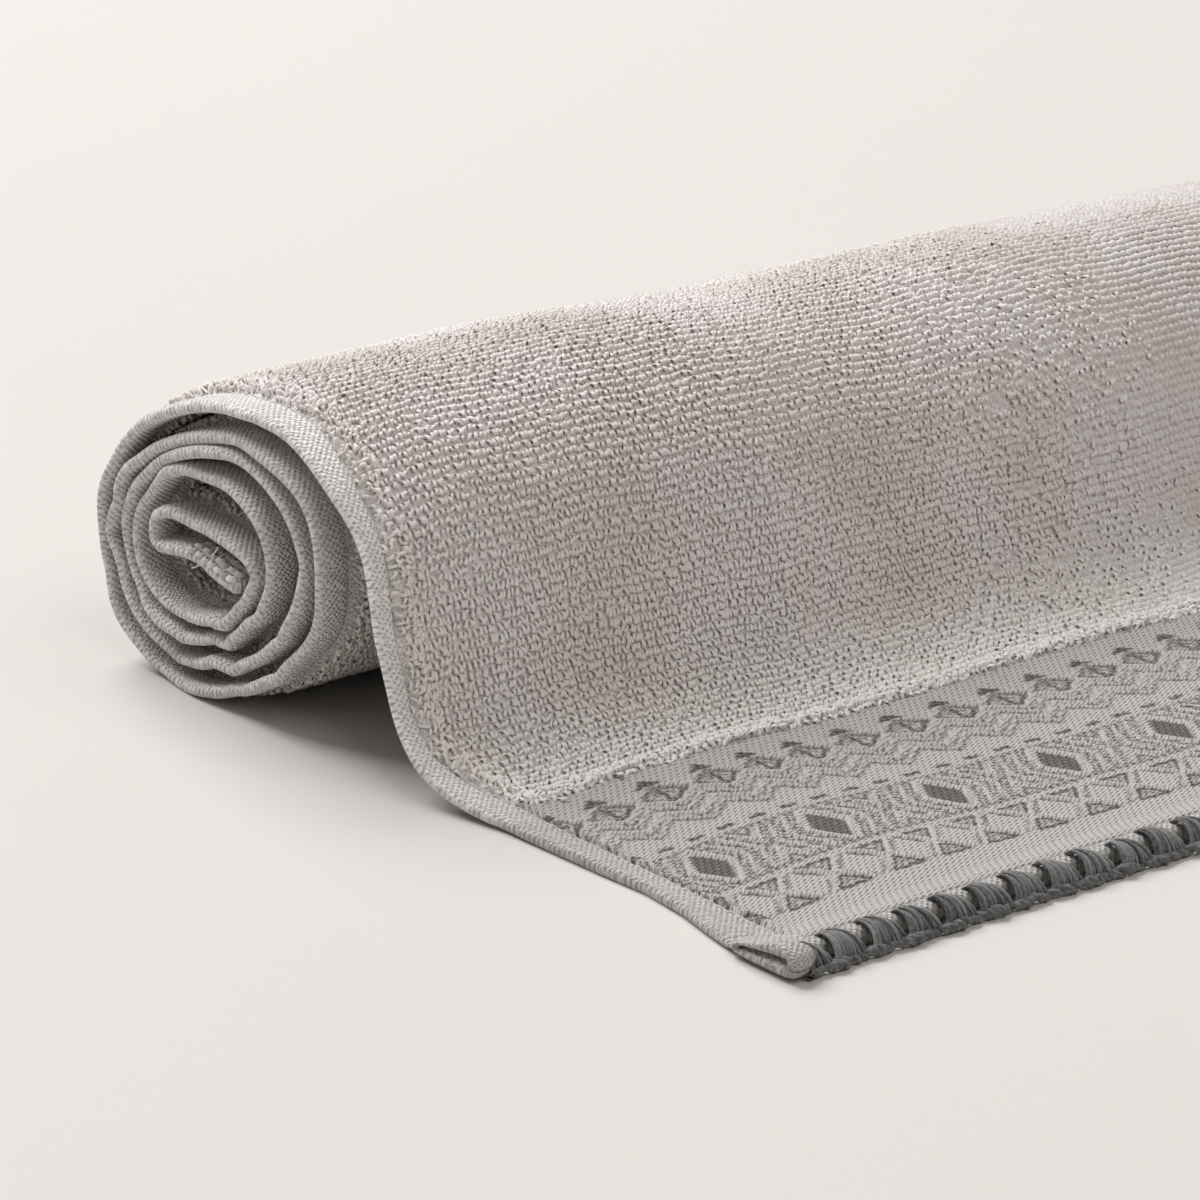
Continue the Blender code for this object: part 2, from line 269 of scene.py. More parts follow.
def middle(s, x):
    """Middle of the cloth at (s, x), in millimetres."""
    y = np.interp(s, LINE_S, LINE_Y)
    inset = drawn_in(y, x)
    z = np.interp(s, LINE_S, LINE_Z)
    near_ends = np.exp(-x / CRIMP_FADE) + np.exp((x - WIDTH) / CRIMP_FADE)
    y = y + near_ends * np.interp(s, LINE_S, CRIMP_Y)
    z = z + near_ends * np.interp(s, LINE_S, CRIMP_Z)
    on_roll = np.clip((y - SWELL_FADE_Y) / FADE_LENGTH, 0.0, 1.0)
    on_front = np.clip((WAVE_FADE_Y - y) / FADE_LENGTH, 0.0, 1.0)
    z = z * (1.0 + on_roll * smooth_table(x, SWELL_X, SWELL_GAIN) / ROLL_HEIGHT)
    lift = sum(hump["height"] * bump_at(x, hump["x"], hump["width"]) for hump in BORDER_LIFTS)
    z = z + lift * ease((LIFT_BACK_Y - y) / LIFT_FADE) * ease((y - LIFT_FRONT_Y) / LIFT_FADE)
    y = y + on_front * edge_wander(x)
    slip = sum(row["reach"] * np.sin(s / row["length"] + row["phase"]) for row in SIDE_SLIPS)
    x = x + inset + slip * ease((s - TERRY_START_S) / SLIP_FADE) * near_ends
    return np.stack([x, y, z], -1)


def cloth_frame(s, x):
    """Point, direction along the cloth, direction across it and outward normal at (s, x)."""
    s, x = np.broadcast_arrays(np.asarray(s, float), np.asarray(x, float))
    along = middle(np.minimum(s + ALONG_STEP, LENGTH), x) - middle(np.maximum(s - ALONG_STEP, 0.0), x)
    across = middle(s, np.minimum(x + ACROSS_STEP, WIDTH)) - middle(s, np.maximum(x - ACROSS_STEP, 0.0))
    along /= np.linalg.norm(along, axis=-1, keepdims=True)
    normal = np.cross(across, along)
    normal /= np.linalg.norm(normal, axis=-1, keepdims=True)
    across = np.cross(along, normal)
    return middle(s, x), along, across, normal


def keep_above_floor(points, clearance=FLOOR_CLEARANCE):
    """Lift every point that lies lower than the clearance."""
    points[..., 2] = np.maximum(points[..., 2], clearance)


def to_world(points):
    """Points of this file in the frame's metres."""
    points = np.asarray(points, float)
    shift = np.array([-WIDTH / 2, CAD_BOX[0][1] / MM - CAD_FRONT_Y, 0.0])
    return (points + shift) * MM


def make_mesh(name, points, faces, material, cloth=None, figure=None):
    """Object from arrays: points, faces of equal size, places on the cloth and the figure's strength."""
    faces = np.asarray(faces)
    count, corners = faces.shape
    mesh = bpy.data.meshes.new(name)
    mesh.vertices.add(len(points))
    mesh.vertices.foreach_set("co", to_world(points).astype(np.float32).ravel())
    mesh.loops.add(count * corners)
    mesh.loops.foreach_set("vertex_index", faces.astype(np.int32).ravel())
    mesh.polygons.add(count)
    mesh.polygons.foreach_set("loop_start", np.arange(0, count * corners, corners, dtype=np.int32))
    mesh.polygons.foreach_set("use_smooth", np.ones(count, bool))
    mesh.update(calc_edges=True)
    mesh.validate()
    if cloth is not None:
        layer = mesh.attributes.new("cloth", "FLOAT_VECTOR", "POINT")
        layer.data.foreach_set("vector", np.asarray(cloth, np.float32).ravel())
    if figure is not None:
        layer = mesh.attributes.new("figure", "FLOAT", "POINT")
        layer.data.foreach_set("value", np.asarray(figure, np.float32).ravel())
    mesh.materials.append(material)
    piece = bpy.data.objects.new(name, mesh)
    bpy.context.scene.collection.objects.link(piece)
    return piece


def belongs(piece):
    """The piece rides on the only body."""
    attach(piece, "root")
    return piece


class Nodes:
    """Short way to build a material's nodes."""

    def __init__(self, name):
        self.material = bpy.data.materials.new(name)
        self.material.use_nodes = True
        self.tree = self.material.node_tree
        self.shader = self.tree.nodes["Principled BSDF"]

    def put(self, value, socket):
        if isinstance(value, bpy.types.NodeSocket):
            self.tree.links.new(value, socket)
        else:
            socket.default_value = value

    def math(self, operation, first, second=0.0, third=0.0):
        node = self.tree.nodes.new("ShaderNodeMath")
        node.operation = operation
        for value, socket in zip((first, second, third), node.inputs):
            self.put(value, socket)
        return node.outputs[0]

    def times(self, first, second):
        return self.math("MULTIPLY", first, second)

    def plus(self, first, second):
        return self.math("ADD", first, second)

    def times_plus(self, first, second, third):
        return self.math("MULTIPLY_ADD", first, second, third)

    def sine(self, value):
        return self.math("SINE", value)

    def attribute(self, name, output):
        node = self.tree.nodes.new("ShaderNodeAttribute")
        node.attribute_name = name
        return node.outputs[output]

    def cloth(self):
        """Place on the cloth in millimetres, then its parts: across, along and a share of its own."""
        place = self.attribute("cloth", "Vector")
        split = self.tree.nodes.new("ShaderNodeSeparateXYZ")
        self.tree.links.new(place, split.inputs[0])
        return place, split.outputs[0], split.outputs[1], split.outputs[2]

    def object_place(self):
        """Object coordinates, for fine grain."""
        return self.tree.nodes.new("ShaderNodeTexCoord").outputs["Object"]

    def noise(self, vector, scale, detail):
        node = self.tree.nodes.new("ShaderNodeTexNoise")
        self.put(vector, node.inputs["Vector"])
        node.inputs["Scale"].default_value = scale
        node.inputs["Detail"].default_value = detail
        node.inputs["Roughness"].default_value = 0.5
        return node.outputs["Fac"]

    def mix(self, factor, first, second):
        node = self.tree.nodes.new("ShaderNodeMix")
        node.data_type = "RGBA"
        self.put(factor, node.inputs[0])
        self.put(first, node.inputs[6])
        self.put(second, node.inputs[7])
        return node.outputs[2]

    def ramp(self, value, low, high):
        """Value rescaled so that low gives 0 and high gives 1."""
        node = self.tree.nodes.new("ShaderNodeMapRange")
        self.put(value, node.inputs[0])
        node.inputs[1].default_value = low
        node.inputs[2].default_value = high
        return node.outputs[0]

    def bump(self, height, distance):
        node = self.tree.nodes.new("ShaderNodeBump")
        node.inputs["Distance"].default_value = distance
        node.inputs["Strength"].default_value = 1.0
        self.put(height, node.inputs["Height"])
        self.tree.links.new(node.outputs[0], self.shader.inputs["Normal"])

    def finish(self, colour, roughness, sheen):
        self.put(colour, self.shader.inputs["Base Color"])
        self.shader.inputs["Roughness"].default_value = roughness
        self.shader.inputs["Specular IOR Level"].default_value = SPECULAR
        self.shader.inputs["Sheen Weight"].default_value = sheen
        self.shader.inputs["Sheen Roughness"].default_value = SHEEN_ROUGHNESS
        return self.material


PILE_LIGHT = (0.84, 0.785, 0.76, 1.0)
PILE_DEEP = (0.70, 0.64, 0.61, 1.0)
PILE_ROOT = (0.78, 0.725, 0.695, 1.0)
PILE_WARM = (0.70, 0.618, 0.56, 1.0)
PILE_GREY = (0.85, 0.81, 0.775, 1.0)
WEAVE_LIGHT = (0.72, 0.69, 0.667, 1.0)
# Painted shade where the hem lies flat on the floor, and painted light on the standing flap
WEAVE_FLOOR_PAINTED_SHADE = (0.53, 0.51, 0.49, 1.0)
WEAVE_FLAP_PAINTED_LIGHT = (0.86, 0.826, 0.795, 1.0)
# Painted shade in the holes of the hem weave
WEAVE_HOLE_SHADE = (0.155, 0.145, 0.138, 1.0)
GROUND_LIGHT = (0.50, 0.468, 0.44, 1.0)
# Painted shade in the holes of the border's ground weave
GROUND_HOLE_SHADE = (0.115, 0.10, 0.092, 1.0)
FIGURE_DARK = (0.038, 0.033, 0.028, 1.0)
THREAD_LIGHT = (0.30, 0.292, 0.285, 1.0)
THREAD_DEEP = (0.012, 0.0115, 0.011, 1.0)
SEWING_LIGHT = (0.74, 0.72, 0.69, 1.0)
SEWING_DEEP = (0.62, 0.60, 0.57, 1.0)
SURFACE_DEEP = (0.612, 0.59, 0.555, 1.0)
SURFACE_LIGHT = (0.624, 0.602, 0.566, 1.0)
SPECULAR = 0.2
SHEEN_ROUGHNESS = 0.6
# Painted shade: share by which the ground under the pile is darkened behind the crown
ROOT_SHADE_TONE = 0.74

# Pitch and slant of the weaves
HEM_PITCH = (1.42, 1.34)
HEM_SLANT = 0.12
DASH_PITCH = 2.7
ROW_PITCH = 1.55
SLANT_COS = 0.9
SLANT_SIN = 0.44


def toned(colour, tone):
    """The colour with its brightness changed by a share."""
    return (colour[0] * tone, colour[1] * tone, colour[2] * tone, 1.0)


def pile_material(name, tone):
    """Looped yarn with warm patches; a tone below 1 is painted shade for the shadowed gaps that plainer loops
    leave out.
    """
    nodes = Nodes(name)
    place, _, along, _ = nodes.cloth()
    patches = nodes.ramp(nodes.noise(place, 0.028, 3.0), 0.42, 0.66)
    speckle = nodes.ramp(nodes.noise(place, 1.7, 1.0), 0.3, 0.7)
    greyness = nodes.ramp(along, TERRY_START_S + 34.0, TERRY_START_S + 8.0)
    colour = nodes.mix(nodes.times(speckle, 0.45), toned(PILE_LIGHT, tone), toned(PILE_DEEP, tone))
    colour = nodes.mix(nodes.times(patches, 0.75), colour, toned(PILE_WARM, tone))
    colour = nodes.mix(nodes.times(greyness, 0.8), colour, toned(PILE_GREY, tone))
    nodes.bump(nodes.noise(nodes.object_place(), 3200.0, 2.0), 0.00008)
    return nodes.finish(colour, 0.95, 0.2)


def lattice(nodes, across, along, across_pitch, along_pitch, slant):
    """Staggered grains of a plain weave: 1 on a thread's crown and 0 in the hole between threads."""
    u = nodes.times(nodes.plus(across, nodes.times(along, slant)), TAU / across_pitch)
    v = nodes.times(along, TAU / along_pitch)
    return nodes.times_plus(nodes.times(nodes.sine(u), nodes.sine(v)), 0.5, 0.5)


def hem_material():
    """Pebbled weave of the hems, with painted shade in the holes and on the floor, painted light on the flap,
    and the pile's ground.
    """
    nodes = Nodes("hem_weave")
    place, across, along, _ = nodes.cloth()
    grain = nodes.noise(place, 1.9, 3.0)
    shift = nodes.times(nodes.noise(place, 0.7, 2.0), 1.5)
    dots = lattice(nodes, nodes.plus(across, shift), nodes.plus(along, shift), *HEM_PITCH, HEM_SLANT)
    height = nodes.times_plus(grain, 0.5, dots)
    # Painted shade: the weave is darkened in its holes, where the bump is low.
    holes = nodes.ramp(height, 0.72, 0.16)
    nodes.bump(height, 0.0005)
    # Painted light and shade: the hem is darker where it lies on the floor and lighter on the flap than on
    # the roll.
    on_flap = nodes.ramp(along, TERRY_START_S - 12.0, TERRY_START_S + 10.0)
    on_roll = nodes.ramp(along, CROWN_S + 5.0, CROWN_S + 60.0)
    # Painted shade: the ground under the pile is darker behind the crown.
    behind_crown = nodes.ramp(along, CROWN_S + 24.0, CROWN_S + 34.0)
    yarn = nodes.mix(on_roll, nodes.mix(on_flap, WEAVE_FLOOR_PAINTED_SHADE, WEAVE_FLAP_PAINTED_LIGHT), WEAVE_LIGHT)
    weave = nodes.mix(nodes.times(holes, 0.75), yarn, WEAVE_HOLE_SHADE)
    root = nodes.mix(behind_crown, PILE_ROOT, toned(PILE_ROOT, ROOT_SHADE_TONE))
    return nodes.finish(nodes.mix(nodes.attribute("figure", "Fac"), weave, root), 0.9, 0.1)


def figured_material():
    """Fine slanting weave of the border with painted shade in its holes, and the figure's dark threads."""
    nodes = Nodes("figured_weave")
    place, across, along, _ = nodes.cloth()
    grain = nodes.noise(place, 2.0, 3.0)
    shift = nodes.times(nodes.noise(place, 0.4, 1.0), 0.8)
    dash = nodes.plus(nodes.times(across, SLANT_COS), nodes.times(along, SLANT_SIN))
    row = nodes.plus(nodes.times(across, -SLANT_SIN), nodes.times(along, SLANT_COS))
    row = nodes.plus(row, nodes.times(shift, 0.4))
    dots = lattice(nodes, nodes.plus(dash, shift), row, DASH_PITCH, ROW_PITCH, 0.0)
    furrow = nodes.sine(nodes.times(row, TAU / (ROW_PITCH / 2)))
    height = nodes.times_plus(furrow, 0.2, nodes.times_plus(dots, 0.7, 0.15))
    height = nodes.times_plus(grain, 0.45, height)
    nodes.bump(height, 0.00055)
    figure = nodes.attribute("figure", "Fac")
    ridge = nodes.ramp(figure, -0.15, -0.6)
    # Painted shade: the ground is darkened in its holes, where the bump is low, and less on the light ridges.
    holes = nodes.times(nodes.ramp(height, 0.62, 0.25), nodes.times_plus(ridge, -0.6, 0.8))
    ground = nodes.mix(holes, GROUND_LIGHT, GROUND_HOLE_SHADE)
    broken = nodes.ramp(nodes.times_plus(grain, 0.9, nodes.times(dots, -0.4)), -0.3, 0.16)
    worn = nodes.times(nodes.ramp(figure, 0.0, 1.0), broken)
    return nodes.finish(nodes.mix(worn, ground, FIGURE_DARK), 0.9, 0.1)


def seam_material():
    """Smooth light sewing thread."""
    nodes = Nodes("sewing_thread")
    grain = nodes.noise(nodes.object_place(), 2500.0, 2.0)
    nodes.bump(grain, 0.00006)
    return nodes.finish(nodes.mix(nodes.ramp(grain, 0.3, 0.7), SEWING_LIGHT, SEWING_DEEP), 0.6, 0.1)


def thread_material():
    """Dark thread of the edging, lighter or darker from one thread to the next."""
    nodes = Nodes("dark_thread")
    shade = nodes.cloth()[3]
    grain = nodes.noise(nodes.object_place(), 1500.0, 2.0)
    nodes.bump(grain, 0.0001)
    tone = nodes.plus(nodes.times(nodes.ramp(grain, 0.3, 0.7), 0.3), nodes.times(shade, 0.62))
    return nodes.finish(nodes.mix(tone, THREAD_DEEP, THREAD_LIGHT), 0.7, 0.2)


# Woven sheet: half its thickness by the distance from the side, and its stations across
SIDE_PROFILE = (
    dict(x=0.0, half=0.0), dict(x=0.12, half=0.55), dict(x=0.45, half=1.0), dict(x=1.0, half=1.28),
    dict(x=2.0, half=1.42), dict(x=3.6, half=1.42), dict(x=5.2, half=1.34), dict(x=6.4, half=1.2),
    dict(x=7.1, half=0.75), dict(x=7.7, half=0.72), dict(x=8.6, half=1.5), dict(x=10.0, half=1.75),
)
INNER_X = (15.0, 22.0, 34.0, 48.0, 64.0, 82.0, 104.0, 130.0, 160.0, 200.0, 250.0)
PROFILE_X = [row["x"] for row in SIDE_PROFILE]
PROFILE_HALF = [row["half"] for row in SIDE_PROFILE]
FLAP_ROW_S = [float(LINE_S[index * STEPS_PER_FOLD]) for index in range(len(FLAP))]
FLAP_HEM = [row["hem"] for row in FLAP]
GROUND_HALF = 0.85
PLAIN_SIDE = (8.6, 10.0)
SIDE_ROUNDING = 1.4

# Thick hems of both ends: half the thickness by the distance from the edge
FRONT_HEM_S = (0.0, 0.15, 0.6, 1.4, 3.0, 5.5, 8.0, 11.0)
FRONT_HEM_HALF = (0.0, 0.85, 1.55, 1.9, 2.0, 1.95, 1.3, 0.85)
BACK_HEM_S = (0.0, 0.2, 0.8, 1.6, 10.0, 12.0)
BACK_HEM_HALF = (0.0, 0.9, 1.6, 1.95, 1.95, 1.0)

# Thin spot at the near front corner, which the folded corner hem covers
RECESS_X = 2.6
RECESS_LENGTH = 2.4
RECESS_LEAST = 0.05
RECESS_END_S = 12.0
RECESS_FADE = 3.0

# Stations along the sheet
FRONT_STATIONS = (0.0, 0.15, 0.6, 1.4, 3.0, 5.0, 7.0, 9.0, 11.0, 13.0)
BACK_STATIONS = (12.0, 10.0, 6.0, 1.6, 0.8, 0.2, 0.0)
FLAT_START_S = 16.0
FLAT_STEP = 4.0
TERRY_STEP = 1.9
SHEET_CLEARANCE = 0.05
HEM_GROWTH_X = 15.0
HEM_GROWTH_FADE = 5.0
LOOPED_X = 7.9


def hem_growth(s):
    """Width of the side hem along the cloth, as a share of its width on the roll."""
    return np.interp(s, FLAP_ROW_S, FLAP_HEM)


def follow_hem(s, x):
    """Places next to the near hem moved with its edge."""
    near = 1.0 - ease((x - 9.0) / 26.0)
    return x + PLAIN_SIDE[0] * (hem_growth(s) - 1.0) * near


def half_thickness(s, x):
    """Half the woven cloth's thickness at (s, x)."""
    side = np.minimum(x, WIDTH - x)
    across = np.interp(side / hem_growth(s), PROFILE_X, PROFILE_HALF)
    flat = np.interp(side / hem_growth(s), PLAIN_SIDE, (0.0, 1.0)) * ease((TERRY_START_S + 1.0 - s) / 2.0)
    across = across + (GROUND_HALF - across) * flat
    in_front = s < FRONT_HEM_S[-1]
    from_front = np.interp(s, FRONT_HEM_S, FRONT_HEM_HALF)
    from_back = np.interp(LENGTH - s, BACK_HEM_S, BACK_HEM_HALF)
    hem = np.where(in_front, from_front, from_back)
    corner = np.sqrt(np.clip(side / SIDE_ROUNDING, 0.0, 1.0))
    thick = np.maximum(hem, across * (hem > 0.8)) * corner
    half = np.where(in_front | (s > LENGTH - BACK_HEM_S[-1]), thick, across)
    recess = np.clip((x - RECESS_X) / RECESS_LENGTH, RECESS_LEAST, 1.0)
    thinned = np.minimum(half, half * recess + ease((s - RECESS_END_S) / RECESS_FADE) * half)
    return np.where(s < RECESS_END_S + RECESS_FADE, thinned, half)


def grid_faces(rows, columns, wrap=False):
    """Quads of a grid of points, row by row."""
    i, j = np.meshgrid(np.arange(rows - 1), np.arange(columns if wrap else columns - 1), indexing="ij")
    right = (j + 1) % columns
    return np.stack([i * columns + j, i * columns + right, (i + 1) * columns + right, (i + 1) * columns + j],
                    -1).reshape(-1, 4)


def both_faces(outer, inner):
    """Ring of points around the sheet: along its outer face and back along its inner one."""
    return np.concatenate([outer, inner[:, 1:-1][:, ::-1]], 1)


def closing_faces(rows, columns, stations):
    """Quads that close the ring at the sheet's two ends."""
    ends = []
    for base, flip in ((0, False), ((rows - 1) * columns, True)):
        for j in range(stations - 1):
            opposite = [(columns - k) % columns for k in (j, j + 1)]
            quad = [base + j, base + opposite[0], base + opposite[1], base + j + 1]
            if len(set(quad)) == 4:
                ends.append(quad[::-1] if flip else quad)
    return np.array(ends)


def build_sheet(material):
    """The woven cloth itself, both faces and its rounded hems."""
    near = PROFILE_X + list(INNER_X)
    stations = np.array(near + [WIDTH - x for x in reversed(near[:-1])])
    border = np.arange(FLAT_START_S, TERRY_START_S - 6.0, FLAT_STEP)
    terry = np.arange(TERRY_START_S - 5.0, LENGTH - 13.0, TERRY_STEP)
    lengths = np.concatenate([FRONT_STATIONS, border, terry, LENGTH - np.array(BACK_STATIONS)])
    s, x = np.meshgrid(lengths, stations, indexing="ij")
    side = np.minimum(x, WIDTH - x)
    growing = np.clip((HEM_GROWTH_X - side) / HEM_GROWTH_FADE, 0.0, 1.0)
    grown = side * (1.0 + (hem_growth(s) - 1.0) * growing)
    x = np.where(x > WIDTH / 2, WIDTH - grown, grown)
    point, _, _, normal = cloth_frame(s, x)
    half = half_thickness(s, x)[..., None]
    ring = both_faces(point + normal * half, point - normal * half)
    keep_above_floor(ring, SHEET_CLEARANCE)
    place = np.stack([x + drawn_in(np.interp(s, LINE_S, LINE_Y), x), s, np.ones_like(s)], -1)
    places = both_faces(place, place).reshape(-1, 3)
    rows, columns = ring.shape[:2]
    closing = closing_faces(rows, columns, len(stations))
    faces = np.concatenate([grid_faces(rows, columns, wrap=True), closing])
    across, along = places[:, 0], places[:, 1]
    inward = np.minimum(across, WIDTH - across) / hem_growth(along)
    looped = (inward > LOOPED_X) & (along > TERRY_START_S - 0.5) & (along < LENGTH - 15.0)
    return make_mesh("towel_cloth", ring.reshape(-1, 3), faces[:, ::-1], material, places, looped)


# Terry loops

ROOT_DEPTH = 0.2


def arch_template(sides, stations, reach, height, thick, lean):
    """Small tube bent over like a loop of yarn: rows of (along, across, up), and its faces."""
    points = []
    for i in range(stations):
        turn = math.pi * i / (stations - 1)
        centre = np.array([-reach * math.cos(turn), 0.0, height * math.sin(turn) ** 0.8])
        outwards = np.array([-math.cos(turn), 0.0, math.sin(turn)])
        for k in range(sides):
            angle = TAU * k / sides + 0.5
            ring = outwards * math.cos(angle) * thick + np.array([0.0, 1.0, 0.0]) * math.sin(angle) * thick
            points.append(centre + ring)
    points = np.array(points)
    points[:, 0] += points[:, 2] * lean
    faces = grid_faces(stations, sides, wrap=True)
    return points, faces


def pillow_template(length, width, height, lean):
    """Soft grain: a small lozenge-shaped cushion of ten triangles, as quads."""
    foot = np.array([[-length, 0, 0], [0, width, 0], [length, 0, 0], [0, -width, 0]], float)
    top = foot * np.array([0.5, 0.62, 0.0]) + np.array([0.0, 0.0, height])
    points = np.concatenate([foot, top])
    points[:, 0] += points[:, 2] * lean
    faces = [(k, (k + 1) % 4, 4 + (k + 1) % 4, 4 + k) for k in range(4)] + [(4, 5, 6, 7)]
    return points, np.array(faces)


def sow(seed, s_range, x_range, row_pitch, loop_pitch, wander):
    """Places of the loops: rows across the cloth, each with its own offset, and a little disorder."""
    random = np.random.default_rng(seed)
    rows = np.arange(s_range[0], s_range[1], row_pitch)
    columns = np.arange(x_range[0], x_range[1], loop_pitch)
    s, x = np.meshgrid(rows, columns, indexing="ij")
    x = x + random.uniform(0, loop_pitch, (len(rows), 1)) + random.normal(0, wander, s.shape)
    drift = 0.5 * np.sin(x / 13.0 + s / 31.0) + 0.35 * np.sin(x / 5.3 - s / 17.0)
    s = s + drift + random.normal(0, wander * 0.8, s.shape)
    return s.ravel(), np.clip(x.ravel(), x_range[0] - 0.5, x_range[1] + 0.5), random


def plant(name, template, s, x, face, random, material, spread, tall=1.0, slant=0.35):
    """One joined piece of loops on one face of the cloth: face is 1 outside and -1 inside."""
    shape, faces = template
    point, along, across, normal = cloth_frame(s, x)
    count = len(s)
    tall = np.broadcast_to(np.asarray(tall, float), (count,))[:, None]
    turn = slant + random.normal(0, spread, count)
    size = random.uniform(0.88, 1.12, (count, 1))
    tip = random.normal(0, spread * 0.55, (count, 2))
    cos, sin = np.cos(turn)[:, None], np.sin(turn)[:, None]
    a, c, h = shape[:, 0][None] * size, shape[:, 1][None] * size, shape[:, 2][None] * size
    a, c = a * cos - c * sin + h * tip[:, :1], a * sin + c * cos + h * tip[:, 1:]
    up = normal * face
    lift = half_thickness(s, x)[:, None] - ROOT_DEPTH + (1.0 - tall) * shape[:, 2].max()
    base = point + up * lift
    h = h * tall
    points = base[:, None] + along[:, None] * a[..., None] + across[:, None] * c[..., None]
    points = points + up[:, None] * h[..., None]
    keep_above_floor(points)
    per = len(shape)
    starts = np.arange(count)[:, None, None] * per
    order = faces if face > 0 else faces[:, ::-1]
    every = (order[None] + starts).reshape(-1, faces.shape[1])
    place = np.stack([x, s, random.uniform(0, 1, count)], -1)
    return make_mesh(name, points.reshape(-1, 3), every, material, np.repeat(place, per, 0))


def keep(chosen, *arrays):
    """The same choice from several arrays."""
    return [array[chosen] for array in arrays]


def pile_zones():
    """Zones of loops: seed, stretch along and across, pitch of rows and loops, disorder, form and spread."""
    arch = arch_template(3, 5, 0.6, 0.95, 0.45, -0.5)
    small_arch = arch_template(3, 4, 0.62, 0.92, 0.5, -0.45)
    pillow = pillow_template(1.25, 0.95, 0.8, -0.3)
    back_pillow = pillow_template(1.95, 1.6, 1.2, 0.2)
    curl = arch_template(4, 6, 0.6, 1.15, 0.42, 0.1)
    first = TERRY_START_S + 0.8
    lit_end = CROWN_S + 30.0
    side_start, back_end = CROWN_S + turn_length(165.0), CROWN_S + turn_length(300.0)
    lit, gaps, lining = (first, lit_end), (back_end, LENGTH - 17.0), (first, LENGTH - 17.0)
    far_gaps, far_lining = (back_end, LENGTH - 14.0), (first, LENGTH - 14.0)
    far_side = (WIDTH - 15.0, WIDTH - 9.0)
    return (
        dict(name="near_loops", seed=1, s=lit, x=(10.6, 98.0), pitch=(1.87, 0.98), wander=0.15,
             form=arch, spread=0.34, by_hem=True),
        dict(name="middle_loops", seed=2, s=lit, x=(98.0, 230.0), pitch=(1.87, 1.02), wander=0.14,
             form=small_arch, spread=0.32, fades_out=(145.0, 70.0), sinks=(0.25, 110.0, 120.0)),
        dict(name="far_loops", seed=3, s=lit, x=(137.0, WIDTH - 9.0), pitch=(1.95, 1.45), wander=0.13,
             form=pillow, spread=0.25, yarn="far", fades_in=(132.0, 52.0), tall=0.9,
             sinks=(0.35, 180.0, 150.0)),
        dict(name="back_loops", seed=4, s=(lit_end, back_end), x=(9.0, WIDTH - 9.0), pitch=(3.3, 2.8),
             wander=0.25, form=back_pillow, spread=0.25, yarn="back", starts_x=58.0, ends_s=side_start),
        dict(name="side_loops", seed=14, s=(side_start, back_end), x=(9.0, 58.0), pitch=(1.95, 1.25),
             wander=0.2, form=small_arch, spread=0.6),
        dict(name="near_gap_loops", seed=5, s=gaps, x=(8.4, 13.5), pitch=(1.9, 1.2), wander=0.2,
             form=small_arch, spread=0.6),
        dict(name="near_lining_loops", seed=6, s=lining, x=(8.6, 13.5), pitch=(2.0, 1.25), wander=0.2,
             form=small_arch, spread=0.6, by_hem=True, face=-1),
        dict(name="far_gap_loops", seed=7, s=far_gaps, x=far_side, pitch=(2.4, 2.0), wander=0.2,
             form=back_pillow, spread=0.3, tall=0.7),
        dict(name="far_lining_loops", seed=8, s=far_lining, x=far_side, pitch=(2.4, 2.0), wander=0.2,
             form=back_pillow, spread=0.3, tall=0.7, face=-1),
        dict(name="hem_curls", seed=9, s=(first, lit_end + 60.0), x=(8.0, 11.6), pitch=(1.75, 1.15),
             wander=0.25, form=curl, spread=0.7, by_hem=True),
        dict(name="border_curls", seed=10, s=(TERRY_START_S - 0.3, TERRY_START_S + 2.2), x=(11.0, 270.0),
             pitch=(1.2, 0.95), wander=0.35, form=small_arch, spread=0.8, slant=0.0),
    )


def build_zone(zone, yarns):
    """Loops of one zone, thinned or shortened where it meets the next."""
    s, x, random = sow(zone["seed"], zone["s"], zone["x"], *zone["pitch"], zone["wander"])
    if "fades_out" in zone:
        start, length = zone["fades_out"]
        s, x = keep(random.uniform(0, 1, len(s)) > (x - start) / length, s, x)
    if "fades_in" in zone:
        start, length = zone["fades_in"]
        s, x = keep(random.uniform(0, 1, len(s)) < (x - start) / length, s, x)
    if "starts_x" in zone:
        s, x = keep((x > zone["starts_x"]) | (s < zone["ends_s"]), s, x)
    tall = zone.get("tall", 1.0)
    if "sinks" in zone:
        share, start, length = zone["sinks"]
        tall = tall - share * ease((x - start) / length)
    if "by_hem" in zone:
        x = follow_hem(s, x)
    yarn = yarns[zone.get("yarn", "near")]
    return plant(zone["name"], zone["form"], s, x, zone.get("face", 1), random, yarn, zone["spread"], tall,
                 zone.get("slant", 0.35))


# Figured border, charted in its own band

CHART_X = np.array([22.1, 35.6, 48.9, 60.2, 71.4, 84.2, 97.1, 110.0, 122.5])
MOTIF = 12.5
LOZENGE_SPAN = 29.0
LOZENGE_X = 20.8
WARP_X = np.array([0.0, 17.0, 35.0, 60.0, 83.0, 107.0, 125.0, 150.0, 190.0, 500.0])
WARP_Y = np.array([-1.6, -1.1, 0.0, 0.0, -0.4, -0.5, -1.6, -1.4, -0.6, -0.6])

# Where each band of the figure lies, from its front to its back
DIAMONDS_DARK = (-101.0, math.inf)
DIAMONDS_LIGHT = (-104.0, math.inf)
WAVES = (-113.5, -99.0)
LOZENGES = (-138.6, -118.0)
CROSSES = (-154.2, -139.0)
DASH_V = -116.2
DASH_PITCH_X = 7.7
LOZENGE_V = -128.3
CROSS_V = -146.5

